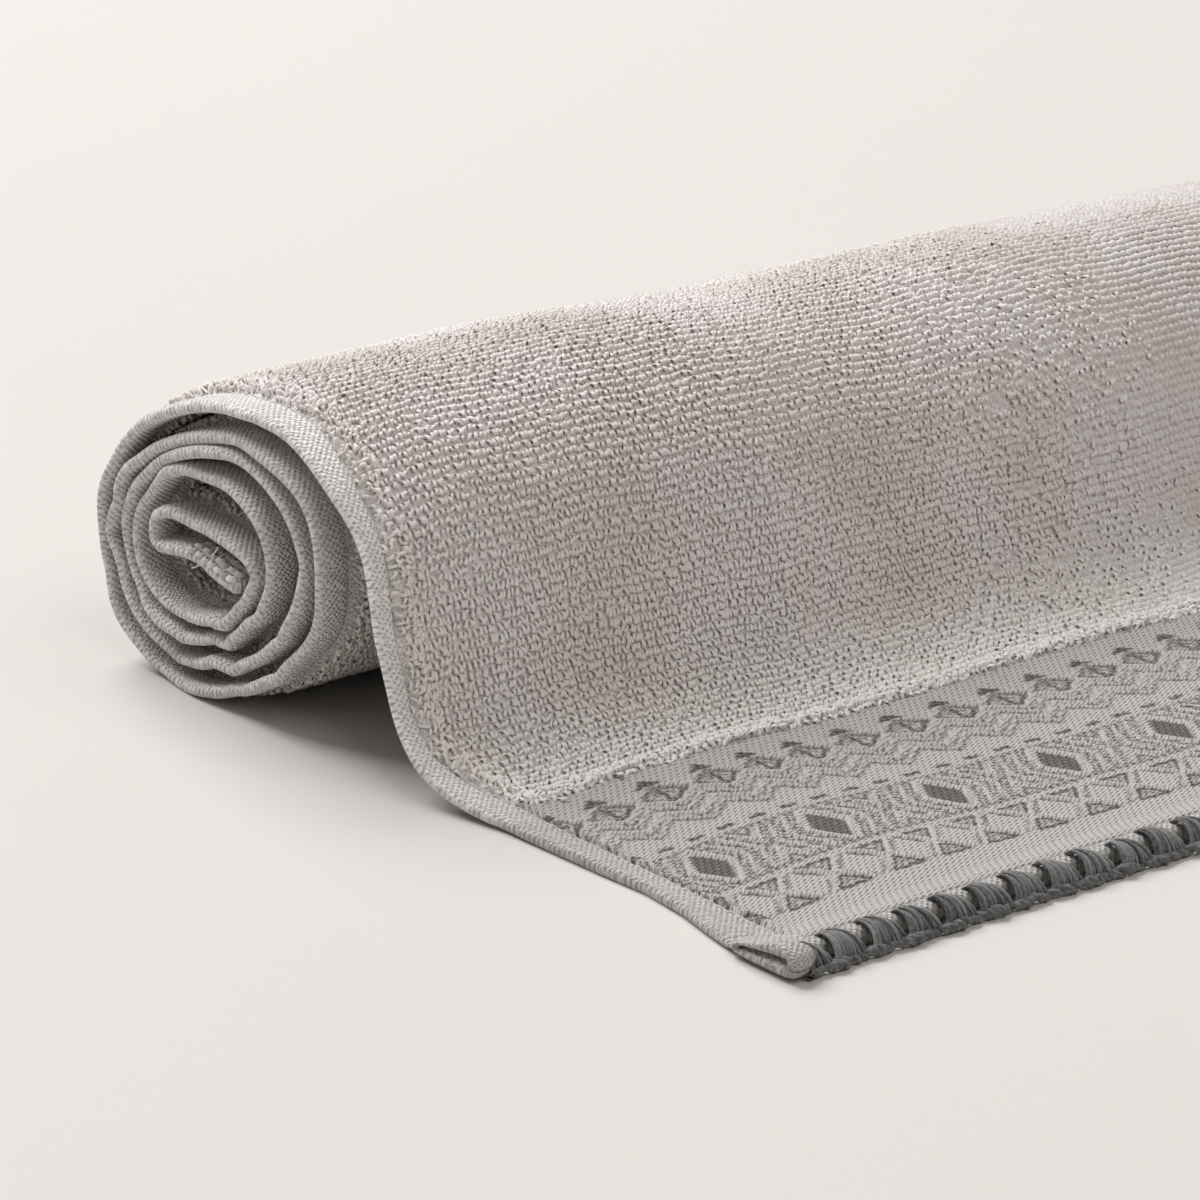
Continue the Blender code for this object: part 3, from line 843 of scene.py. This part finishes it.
# Relief of the figure, and the depth to which a stretch's rim is sunk
RELIEF = dict(ground=0.28, light=0.55, dark=-0.12, rope=0.12)
SUNK = -0.3
BORDER_FRONT_S = 3.2
STRETCHES = (
    dict(name="border_near", x=(10.0, 130.0), x_step=0.45, s_step=0.42),
    dict(name="border_middle", x=(130.0, 260.0), x_step=0.72, s_step=0.55),
    dict(name="border_far", x=(260.0, WIDTH - 10.0), x_step=0.98, s_step=0.82),
)


def stroke(distance, width):
    """1 on a line and 0 away from it."""
    return np.clip(1.7 - np.abs(distance) / width, 0.0, 1.0)


def box_of(a, b, width, height):
    """1 inside a rectangle."""
    return np.clip((width - np.abs(a)) / 0.3, 0, 1) * np.clip((height - np.abs(b)) / 0.3, 0, 1)


def zigzag(a):
    """Folded line of the motif: 0 at its middle and 1 halfway to the next."""
    return np.abs(a) / (MOTIF / 2)


def highest(*layers):
    """The strongest of several layers at each place."""
    strongest = layers[0]
    for layer in layers[1:]:
        strongest = np.maximum(strongest, layer)
    return strongest


def below(value, limit, softness):
    """1 where the value is under a limit, falling to 0 over the softness."""
    return np.clip((limit - value) / softness, 0, 1)


def above(value, limit, softness):
    """1 where the value is over a limit, falling to 0 over the softness."""
    return np.clip((value - limit) / softness, 0, 1)


def in_band(v, band, layer):
    """The layer inside a band, and nothing outside."""
    return np.where((v > band[0]) & (v < band[1]), layer, 0.0)


def diamond_band(a, v):
    """Caps, roofs and diamonds next to the pile: dark and light parts."""
    cap = np.clip((3.4 - np.abs(a) - (v + 91.5) * 1.05) / 0.5, 0, 1) * np.clip((v + 91.9) / 0.4, 0, 1)
    roof = v - (-92.3 - 3.7 * zigzag(a) ** 1.3)
    floor_line = v - (-101.7 + 4.3 * zigzag(a))
    shell = np.abs(a) / 5.4 + np.abs(v + 96.4) / 4.7
    rim = np.clip(1.45 - np.abs(shell - 0.88) / 0.21, 0, 1) * (0.9 + 0.1 * np.sign(-v - 96.4))
    heart = stroke(a, 0.5) * below(np.abs(v + 96.4), 3.2, 0.4)
    arrow = stroke(v - (-94.6 - 0.9 * np.abs(a)), 0.5) * below(np.abs(a), 2.4, 0.4)
    return highest(cap, rim, heart, arrow * 0.8), highest(stroke(roof, 0.5), stroke(floor_line, 0.6))


def wave_band(a, v):
    """Two dark zigzags between light ones, with little boxes in their valleys: dark and light parts."""
    line = 5.0 * zigzag(a)
    dark = light = np.zeros_like(v)
    for base in (-105.0, -111.2):
        knobs = 0.6 + 0.4 * np.sin(TAU * a / 1.7 + 2.0 * np.sin(v)) * np.sin(TAU * v / 1.6)
        upper = stroke(v - (base + line + 1.15), 0.42) * knobs
        lower = stroke(v - (base + line - 0.9), 0.5) * knobs
        nook = box_of(a, v - (base + 2.35), 1.9, 1.2) * (1 - box_of(a, v - (base + 2.7), 0.9, 0.9))
        dark = highest(dark, upper, lower, nook * 0.8)
        light = highest(light, stroke(v - (base + line + 2.5), 0.55),
                        stroke(v - (base + line + 0.15), 0.4) * 0.9)
    return dark, light


def lozenge_band(x, v):
    """Solid lozenges with a crossed lattice between them: dark, light and solid parts."""
    b = v - LOZENGE_V
    q = (x - LOZENGE_X + LOZENGE_SPAN / 2) % LOZENGE_SPAN - LOZENGE_SPAN / 2
    shell = (np.abs(q) / 3.9) ** 1.12 + (np.abs(b) / 7.2) ** 1.12
    solid = np.clip((1.0 - shell) / 0.1, 0, 1)
    light = stroke(shell - 1.32, 0.14) * 0.8
    for step in (2.4, 3.5, 4.6):
        light = np.maximum(light, 0.8 * stroke(shell - step, 0.13))
    columns = np.sin(TAU * q / 1.75 + 1.2 * np.sin(b * 0.8))
    keys = 0.5 + 0.5 * columns * np.sin(TAU * b / 2.0 + 1.6 * np.sin(q * 0.9))
    dark = np.clip(keys * 2.6 - 0.85, 0, 1) * (1 - 0.75 * light) * np.clip((shell - 1.3) / 0.1, 0, 1)
    middle_a = np.abs(q) - LOZENGE_SPAN / 2
    for sign in (1, -1):
        edge = np.abs(middle_a) / 4.2 + (8.6 - sign * b) / 5.6
        inside = np.clip((1.0 - edge) / 0.12, 0, 1)
        dark = dark * (1 - inside) + inside * stroke(edge - 0.45, 0.12) * 0.8
        light = np.maximum(light * (1 - inside), stroke(edge - 1.02, 0.1))
    within = below(np.abs(b), 9.0, 0.4)
    rails = stroke(np.abs(b) - 9.2, 0.5) * (0.6 + 0.4 * np.sin(TAU * x / 1.9))
    return np.maximum(dark * within, rails), light * within, solid


def cross_band(a, v):
    """Facing triangles that leave a light cross between them: dark and light parts."""
    b = v - CROSS_V
    width = np.abs(a)
    arm = width * 1.35
    dark = light = np.zeros_like(v)
    for sign in (1, -1):
        up = b * sign
        inside = below(width, 4.1, 0.4) * above(up, 1.2, 0.3) * below(up, 6.7, 0.3)
        slope = stroke(up - arm - 1.4, 0.6) * inside
        top = stroke(up - 6.1, 0.45) * below(width, 3.9, 0.3) * (up > 0)
        small = stroke(up - arm - 3.4, 0.45) * below(up, 5.6, 0.3) * (up > 0)
        small = small * 0.75 * below(width, 2.4, 0.3)
        outer = stroke(up - arm + 1.9, 0.42) * above(up, 0.6, 0.4) * below(up, 6.2, 0.4)
        dark = highest(dark, slope, top, small, outer * 0.85)
        light = np.maximum(light, stroke(up - arm + 0.3, 0.6) * below(up, 6.4, 0.5) * (up > -0.8))
    return dark, light


def motif_order(x):
    """Which motif a place across the cloth belongs to, counted in motifs: charted, then evenly spaced."""
    count = len(CHART_X)
    beyond = (x - CHART_X[-1]) / MOTIF + count - 1
    before = (x - CHART_X[0]) / MOTIF
    charted = np.interp(x, CHART_X, np.arange(count))
    return np.where(x > CHART_X[-1], beyond, np.where(x < CHART_X[0], before, charted))


def chart(x, y):
    """Dark, light and roped parts of the border at a place on the flat cloth."""
    v = y - np.interp(x, WARP_X, WARP_Y) + 0.2 * np.sin(1.9 * x + 1.3 * np.sin(1.7 * y))
    v = v + 0.08 * np.sin(4.3 * x - 2.2 * y)
    order = motif_order(x)
    a = (order - np.round(order)) * MOTIF + 0.18 * np.sin(2.1 * y + 1.1 * np.sin(1.3 * x))
    diamonds, diamond_light = diamond_band(a, v)
    waves, wave_light = wave_band(a, v)
    lozenges, lozenge_light, solid = lozenge_band(x, v)
    crosses, cross_light = cross_band(a, v)
    dash = box_of((x % DASH_PITCH_X) - DASH_PITCH_X / 2, v - DASH_V, 2.1, 0.8)
    dark = highest(in_band(v, DIAMONDS_DARK, diamonds), in_band(v, WAVES, waves), dash,
                   in_band(v, LOZENGES, np.maximum(lozenges, solid * 0.85)), in_band(v, CROSSES, crosses))
    light = highest(in_band(v, DIAMONDS_LIGHT, diamond_light), in_band(v, WAVES, wave_light),
                    in_band(v, LOZENGES, lozenge_light), in_band(v, CROSSES, cross_light)) * (1.0 - dark)
    threads = np.sin(TAU * (SLANT_COS * x + SLANT_SIN * y) / 1.5 + 1.5 * np.sin(0.8 * y))
    threads = threads * np.sin(TAU * (SLANT_COS * y - SLANT_SIN * x) / 1.9)
    shown = dark * np.where(solid > 0.5, 1.0, np.clip(0.92 + 0.35 * threads, 0.0, 1.0))
    return shown, light, threads * np.maximum(dark, 0.5 * light)


def build_border(stretch, material):
    """A stretch of the figured border, its raised and sunk figure in the surface."""
    first_x, last_x = stretch["x"]
    xs = np.arange(first_x, last_x + stretch["x_step"] * 0.5, stretch["x_step"])
    ss = np.arange(BORDER_FRONT_S, TERRY_START_S + 1.6, stretch["s_step"])
    s, x = np.meshgrid(ss, xs, indexing="ij")
    point, _, _, normal = cloth_frame(s, x)
    dark, light, rope = chart(x, np.interp(s, LINE_S, LINE_Y))
    height = RELIEF["ground"] + RELIEF["light"] * light + RELIEF["dark"] * dark + RELIEF["rope"] * rope
    height[0] = height[-1] = SUNK
    if first_x < 20.0:
        height[:, 0] = SUNK
    if last_x > WIDTH - 20.0:
        height[:, -1] = SUNK
    points = point + normal * (half_thickness(s, x) + height)[..., None]
    faces = grid_faces(len(ss), len(xs))
    places = np.stack([x, s, np.zeros_like(s)], -1).reshape(-1, 3)
    figure = (dark - 0.8 * light).ravel()
    return make_mesh(stretch["name"], points.reshape(-1, 3), faces[:, ::-1], material, places, figure)


# Dark edging

CLAW_COUNT = 57
STITCH_MARGIN = 3.0
CLAW_PITCH = (WIDTH - 2 * STITCH_MARGIN) / CLAW_COUNT
CLAW_START_X = 2.5
CLAW_TIP = 1.5
CLAW_REACH = 8.6
CLAW_THREADS = 9
CLAW_STATIONS = 7
THREAD_SIDES = 5
THREAD_RADIUS = 0.46
BEAD_STRANDS = 3
BEAD_STATIONS = 500
BEAD_Y = -175.1
BEAD_Z = 1.05
BEAD_TWIST = 4.3

# Way of a thread over the hem's rounded edge, from the bead up
OVER_EDGE = (
    dict(place="foot", y=-174.9, z=1.2),
    dict(place="front", y=-174.5, z=2.4),
    dict(place="rounding", y=-173.3, z=3.7),
    dict(place="shoulder", y=-171.6, z=4.5),
    dict(place="top", y=-169.6, z=4.75),
    dict(place="behind", y=-167.6, z=4.5),
    dict(place="beyond", y=-165.4, z=4.2),
)


def tubes(paths, radius, sides, flatten=1.0):
    """Points and faces of many tubes at once: paths is (tubes, stations, 3), radius matches its first two."""
    ahead = np.gradient(paths, axis=1)
    ahead /= np.linalg.norm(ahead, axis=-1, keepdims=True)
    side = np.cross(ahead, np.array([0.13, 0.21, 0.97]))
    side /= np.linalg.norm(side, axis=-1, keepdims=True)
    up = np.cross(side, ahead)
    angles = TAU * np.arange(sides) / sides
    ring = side[..., None, :] * np.cos(angles)[:, None]
    ring = ring + up[..., None, :] * np.sin(angles)[:, None] * flatten
    points = paths[..., None, :] + ring * radius[..., None, None]
    count, stations = paths.shape[:2]
    one = grid_faces(stations, sides, wrap=True)
    starts = np.arange(count)[:, None, None] * stations * sides
    return points.reshape(-1, 3), (one[None] + starts).reshape(-1, 4)


def way_over_edge():
    """Line that a thread takes over the hem: its length, y and z at each point."""
    steps = np.linspace(0.0, len(OVER_EDGE) - 1.0, 60)
    ys = smooth([row["y"] for row in OVER_EDGE], steps)
    zs = smooth([row["z"] for row in OVER_EDGE], steps)
    return np.concatenate([[0.0], np.cumsum(np.hypot(np.diff(ys), np.diff(zs)))]), ys, zs


def build_claws(material):
    """Threads of the overcast edge: each claw is a fan of them that gathers in a point on the hem."""
    random = np.random.default_rng(11)
    claw, thread = np.meshgrid(np.arange(CLAW_COUNT), np.arange(CLAW_THREADS), indexing="ij")
    share = ((thread + 0.5) / CLAW_THREADS).ravel()[:, None]
    size = np.repeat(random.normal(1.0, 0.05, CLAW_COUNT), CLAW_THREADS)[:, None]
    start = (CLAW_START_X + claw * CLAW_PITCH + random.normal(0, 0.25, (CLAW_COUNT, 1))).ravel()[:, None]
    t = np.linspace(0.0, 1.0, CLAW_STATIONS)[None]
    foot = share * (CLAW_PITCH - 0.3)
    tip = CLAW_TIP + 0.5 * share + random.normal(0, 0.12, share.shape)
    bend = 0.7 * foot + 0.24 * CLAW_PITCH * (1.0 - share)
    across = foot * (1 - t) ** 2 + 2 * bend * t * (1 - t) + tip * t ** 2
    reach = CLAW_REACH * size * (1.0 - 0.1 * share)
    high = reach * (0.5 + 0.2 * share)
    along = 2 * high * t * (1 - t) + reach * t ** 2
    lengths, ys, zs = way_over_edge()
    x = np.clip(start + across, 4.4, WIDTH - 0.8)
    y = np.interp(along, lengths, ys)
    z = np.interp(along, lengths, zs)
    plump = (0.15 + 0.45 * np.sin(np.pi * share)) * np.sin(np.pi * t) + random.normal(0, 0.16, share.shape)
    z = z + plump - 0.7 * np.clip((t - 0.8) / 0.2, 0, 1) ** 2
    y = y - 0.5 * plump + edge_wander(x)
    paths = np.stack([x, y, z], -1)
    radius = THREAD_RADIUS * np.ones_like(x) * (1.0 - 0.4 * np.clip((t - 0.5) / 0.5, 0, 1))
    points, faces = tubes(paths, radius, THREAD_SIDES, 0.9)
    shade = np.repeat(random.uniform(0, 1, len(share)), CLAW_STATIONS * THREAD_SIDES)
    places = np.stack([np.repeat(x.ravel(), THREAD_SIDES), np.repeat(along.ravel(), THREAD_SIDES), shade], -1)
    keep_above_floor(points)
    return make_mesh("edge_claws", points, faces, material, places)


def build_bead(material):
    """Uneven knotted bead along the foot of the hem."""
    random = np.random.default_rng(12)
    x = np.linspace(STITCH_MARGIN + 0.9, WIDTH - STITCH_MARGIN + 0.6, BEAD_STATIONS)
    knot = (0.5 + 0.5 * np.sin(TAU * (x - CLAW_START_X) / CLAW_PITCH + 0.9 * np.sin(x / 11.0))) ** 2
    sway = 0.16 * np.sin(x / 2.3 + 1.2 * np.sin(x / 6.1))
    paths = []
    for strand in range(BEAD_STRANDS):
        turn = TAU * (x / BEAD_TWIST + strand / BEAD_STRANDS) + 0.9 * np.sin(x / 2.9 + strand)
        y = BEAD_Y - 0.4 * knot + 0.6 * np.cos(turn) + edge_wander(x) + sway
        y = y + random.normal(0, 0.2, BEAD_STATIONS)
        z = BEAD_Z + 0.3 * knot + 0.5 * np.sin(turn) + random.normal(0, 0.14, BEAD_STATIONS)
        paths.append(np.stack([x, y, z], -1))
    paths = np.array(paths)
    points, faces = tubes(paths, (0.62 + 0.2 * knot) * np.ones(paths.shape[:2]), THREAD_SIDES)
    keep_above_floor(points)
    places = np.stack([points[:, 0], points[:, 1], 0.32 + 0.24 * np.sin(points[:, 0] * 2.1)], -1)
    return make_mesh("edge_bead", points, faces, material, places)


# Sewing and stray ends

SEAM_X = 7.45
SEAM_STITCH = 3.3
SEAM_RADIUS = 0.18
STRAY_RADIUS = 0.14


def build_seams(material):
    """Sewing threads along the side hems, on both faces of the cloth."""
    s = np.arange(12.0, LENGTH - 13.0, 1.5)
    across = SEAM_X * hem_growth(s)
    lift = 0.82 + 0.17 * np.sin(TAU * s / SEAM_STITCH)
    paths = []
    for seam in (across, WIDTH - across):
        for face in (1, -1):
            point, _, _, normal = cloth_frame(s, seam + 0.12 * np.sin(s * 5.1))
            paths.append(point + normal * (face * lift)[:, None])
    paths = np.array(paths)
    points, faces = tubes(paths, SEAM_RADIUS * np.ones(paths.shape[:2]), 3)
    keep_above_floor(points)
    return make_mesh("hem_seams", points, faces, material)


STRAY_ENDS = (
    dict(start=(0.5, 3.0, 31.8), bend=(-1.0, 0.0, 33.6), end=(-1.2, -1.8, 35.4)),
    dict(start=(0.6, 6.5, 29.6), bend=(-0.6, 7.0, 28.6), end=(-0.8, 8.4, 28.2)),
    dict(start=(0.7, 20.0, 9.4), bend=(-0.3, 19.6, 8.8), end=(-0.5, 19.0, 8.6)),
)


def build_strays(material):
    """A few loose ends of thread at the roll's heart."""
    t = np.linspace(0.0, 1.0, 12)[:, None]
    paths = []
    for stray in STRAY_ENDS:
        start, bend, end = (np.array(stray[key]) for key in ("start", "bend", "end"))
        paths.append(start * (1 - t) ** 2 + 2 * bend * t * (1 - t) + end * t ** 2)
    paths = np.array(paths)
    points, faces = tubes(paths, STRAY_RADIUS * np.ones(paths.shape[:2]), THREAD_SIDES)
    return make_mesh("stray_threads", points, faces, material)


DOME_RINGS = (dict(width=1.0, lift=0.0), dict(width=0.9, lift=0.45), dict(width=0.66, lift=0.78),
              dict(width=0.3, lift=0.97))
DOME_SIDES = 8
RIB_PITCH = 2.35
RIB_X = (0.75, 2.75, 4.75, 6.75)


def dome_template(length, width, height):
    """Rounded grain: rings of points up to a flat crown."""
    points = []
    for ring in DOME_RINGS:
        for k in range(DOME_SIDES):
            angle = TAU * k / DOME_SIDES
            points.append((length * ring["width"] * math.cos(angle), width * ring["width"] * math.sin(angle),
                           height * ring["lift"]))
    return np.array(points), grid_faces(len(DOME_RINGS), DOME_SIDES, wrap=True)[:, ::-1]


def build_end_ribs(material):
    """Plump ribs on the thick rolled-in end hem, which shows in the roll's heart."""
    random = np.random.default_rng(13)
    s, x = np.meshgrid(np.arange(LENGTH - 16.0, LENGTH - 1.0, RIB_PITCH), RIB_X, indexing="ij")
    s = s.ravel() + random.normal(0, 0.08, s.size)
    dome = dome_template(1.3, 1.1, 1.0)
    return plant("end_hem_ribs", dome, s, x.ravel(), -1, random, material, 0.06, slant=0.0)


# Folded front hem at its open near end: its outline, and how far each section closes in on its heart
CORNER_RING = (
    dict(y=-176.2, z=3.0), dict(y=-175.7, z=4.9), dict(y=-173.6, z=6.3), dict(y=-170.2, z=6.6),
    dict(y=-166.4, z=5.5), dict(y=-162.6, z=4.2), dict(y=-159.4, z=3.2), dict(y=-158.2, z=2.1),
    dict(y=-158.8, z=1.1), dict(y=-163.0, z=0.75), dict(y=-168.0, z=0.75), dict(y=-172.6, z=0.8),
    dict(y=-175.3, z=1.3),
)
CORNER_SECTIONS = (
    dict(x=6.2, closing=0.45), dict(x=5.0, closing=0.24), dict(x=3.8, closing=0.08), dict(x=2.4, closing=0.0),
    dict(x=1.0, closing=0.0), dict(x=0.35, closing=0.06), dict(x=0.0, closing=0.25),
    dict(x=0.05, closing=0.5), dict(x=0.5, closing=0.76), dict(x=2.5, closing=0.88),
    dict(x=5.5, closing=0.95),
)
CORNER_STEP = 0.25
CORNER_HEART_Y = (-172.6, -161.0)
CORNER_CLEARANCE = 0.04


def build_corner(material):
    """Open end of the folded front hem: a soft flattened ring of cloth with a slit, seen end on."""
    steps = np.arange(0.0, len(CORNER_RING), CORNER_STEP)
    rows = [CORNER_RING[-1], *CORNER_RING, CORNER_RING[0], CORNER_RING[1]]
    ring = np.stack([smooth([row[key] for row in rows], steps + 1.0) for key in ("y", "z")], -1)
    heart = np.stack([np.clip(ring[:, 0], *CORNER_HEART_Y), 3.1 + 0.08 * (-166.0 - ring[:, 0])], -1)
    sections = []
    for section in CORNER_SECTIONS:
        moved = ring + (heart - ring) * section["closing"]
        sections.append(np.concatenate([np.full((len(ring), 1), section["x"] + 0.15), moved], 1))
    points = np.array(sections)
    keep_above_floor(points, CORNER_CLEARANCE)
    shape = points.shape[:2]
    faces = grid_faces(*shape, wrap=True)
    places = np.stack([points[..., 0], np.broadcast_to(steps * 3.4, shape), np.ones(shape)], -1)
    return make_mesh("corner_hem", points.reshape(-1, 3), faces[:, ::-1], material, places.reshape(-1, 3))


# Surface, lights and camera, in metres but for the camera's place

SURFACE_REACH = 4.0
SURFACE_HALF_WIDTH = 4.5
CURVE_RADIUS = 1.2
CURVE_STEPS = 12
BACKDROP_HEIGHT = 3.0
BACKWARDS = (0.5736, 0.8192)
LIGHTS = (
    dict(name="overhead", place=(-0.3, 2.2, 2.8), size=(2.8, 2.4), power=161.0, colour=(0.975, 0.985, 1.0)),
    dict(name="front_fill", place=(-0.1, -1.9, 2.3), size=(2.2, 1.8), power=29.0, colour=(1.0, 0.985, 0.97)),
)
ROOM_COLOUR = (1.0, 0.985, 0.965, 1.0)
ROOM_STRENGTH = 0.25
CAMERA_PLACE = (-558.82, -823.98, 375.12)
CAMERA_DIRECTION = (0.58681, 0.73772, -0.33381)
LENS = 159.0
SENSOR_WIDTH = 36.0


def surface_profile():
    """Section of the surface: (distance back, height), flat and then curving up."""
    bend = SURFACE_REACH - CURVE_RADIUS
    profile = [(-SURFACE_REACH, 0.0), (bend, 0.0)]
    for i in range(1, CURVE_STEPS + 1):
        angle = math.pi / 2 * i / CURVE_STEPS
        profile.append((bend + CURVE_RADIUS * math.sin(angle), CURVE_RADIUS - CURVE_RADIUS * math.cos(angle)))
    return profile + [(SURFACE_REACH, BACKDROP_HEIGHT)]


def build_stage():
    """Pale surface that curves up behind."""
    nodes = Nodes("pale_surface")
    cloudy = nodes.ramp(nodes.noise(nodes.object_place(), 1.3, 2.0), 0.3, 0.7)
    material = nodes.finish(nodes.mix(cloudy, SURFACE_DEEP, SURFACE_LIGHT), 0.7, 0.0)
    nodes.shader.inputs["Specular IOR Level"].default_value = 0.25
    profile = surface_profile()
    back_x, back_y = BACKWARDS
    points = [(back_x * d + back_y * w, back_y * d - back_x * w, z)
              for d, z in profile for w in (-SURFACE_HALF_WIDTH, SURFACE_HALF_WIDTH)]
    mesh = bpy.data.meshes.new("surface")
    faces = [(2 * i, 2 * i + 1, 2 * i + 3, 2 * i + 2) for i in range(len(profile) - 1)]
    mesh.from_pydata(points, [], faces)
    mesh.shade_smooth()
    mesh.materials.append(material)
    surface = bpy.data.objects.new("surface", mesh)
    bpy.context.scene.collection.objects.link(surface)


def add_light(row):
    """Soft rectangular light aimed at the towel."""
    light = bpy.data.lights.new(row["name"], "AREA")
    light.shape = "RECTANGLE"
    light.size, light.size_y = row["size"]
    light.energy = row["power"]
    light.color = row["colour"]
    lamp = bpy.data.objects.new(row["name"], light)
    lamp.location = row["place"]
    lamp.rotation_euler = (-Vector(row["place"])).to_track_quat("-Z", "Y").to_euler()
    bpy.context.scene.collection.objects.link(lamp)


def light_scene():
    """Large soft light above and behind, gentle fill all round."""
    for row in LIGHTS:
        add_light(row)
    world = bpy.data.worlds.new("room")
    world.use_nodes = True
    background = world.node_tree.nodes["Background"]
    background.inputs[0].default_value = ROOM_COLOUR
    background.inputs[1].default_value = ROOM_STRENGTH
    bpy.context.scene.world = world


def add_camera():
    """Camera at the photograph's viewing angle."""
    camera = bpy.data.cameras.new("camera")
    camera.lens = LENS
    camera.sensor_width = SENSOR_WIDTH
    camera.clip_start = 0.05
    eye = bpy.data.objects.new("camera", camera)
    eye.location = to_world([CAMERA_PLACE])[0]
    eye.rotation_euler = Vector(CAMERA_DIRECTION).to_track_quat("-Z", "Y").to_euler()
    bpy.context.scene.collection.objects.link(eye)
    bpy.context.scene.camera = eye


def build():
    """Every piece, its finish and what it stands for, then the stage."""
    # The far and back pile get a tone of 0.86: painted shade for the gaps between their plainer loops.
    yarns = dict(near=pile_material("terry_pile", 1.0), far=pile_material("terry_pile_far_painted_shade", 0.86),
                 back=pile_material("terry_pile_back_painted_shade", 0.86))
    hem = hem_material()
    sewing = seam_material()
    figured = figured_material()
    thread = thread_material()
    cloth = belongs(build_sheet(hem))
    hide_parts("towel")
    for zone in pile_zones():
        belongs(build_zone(zone, yarns))
    for stretch in STRETCHES:
        belongs(build_border(stretch, figured))
    belongs(build_seams(sewing))
    belongs(build_strays(sewing))
    belongs(build_end_ribs(hem))
    belongs(build_corner(hem))
    claws = belongs(build_claws(thread))
    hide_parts("edge_stitch")
    belongs(build_bead(thread))
    build_stage()
    light_scene()
    add_camera()
    view = bpy.context.scene.view_settings
    view.view_transform = "Standard"
    view.look = "None"


build()
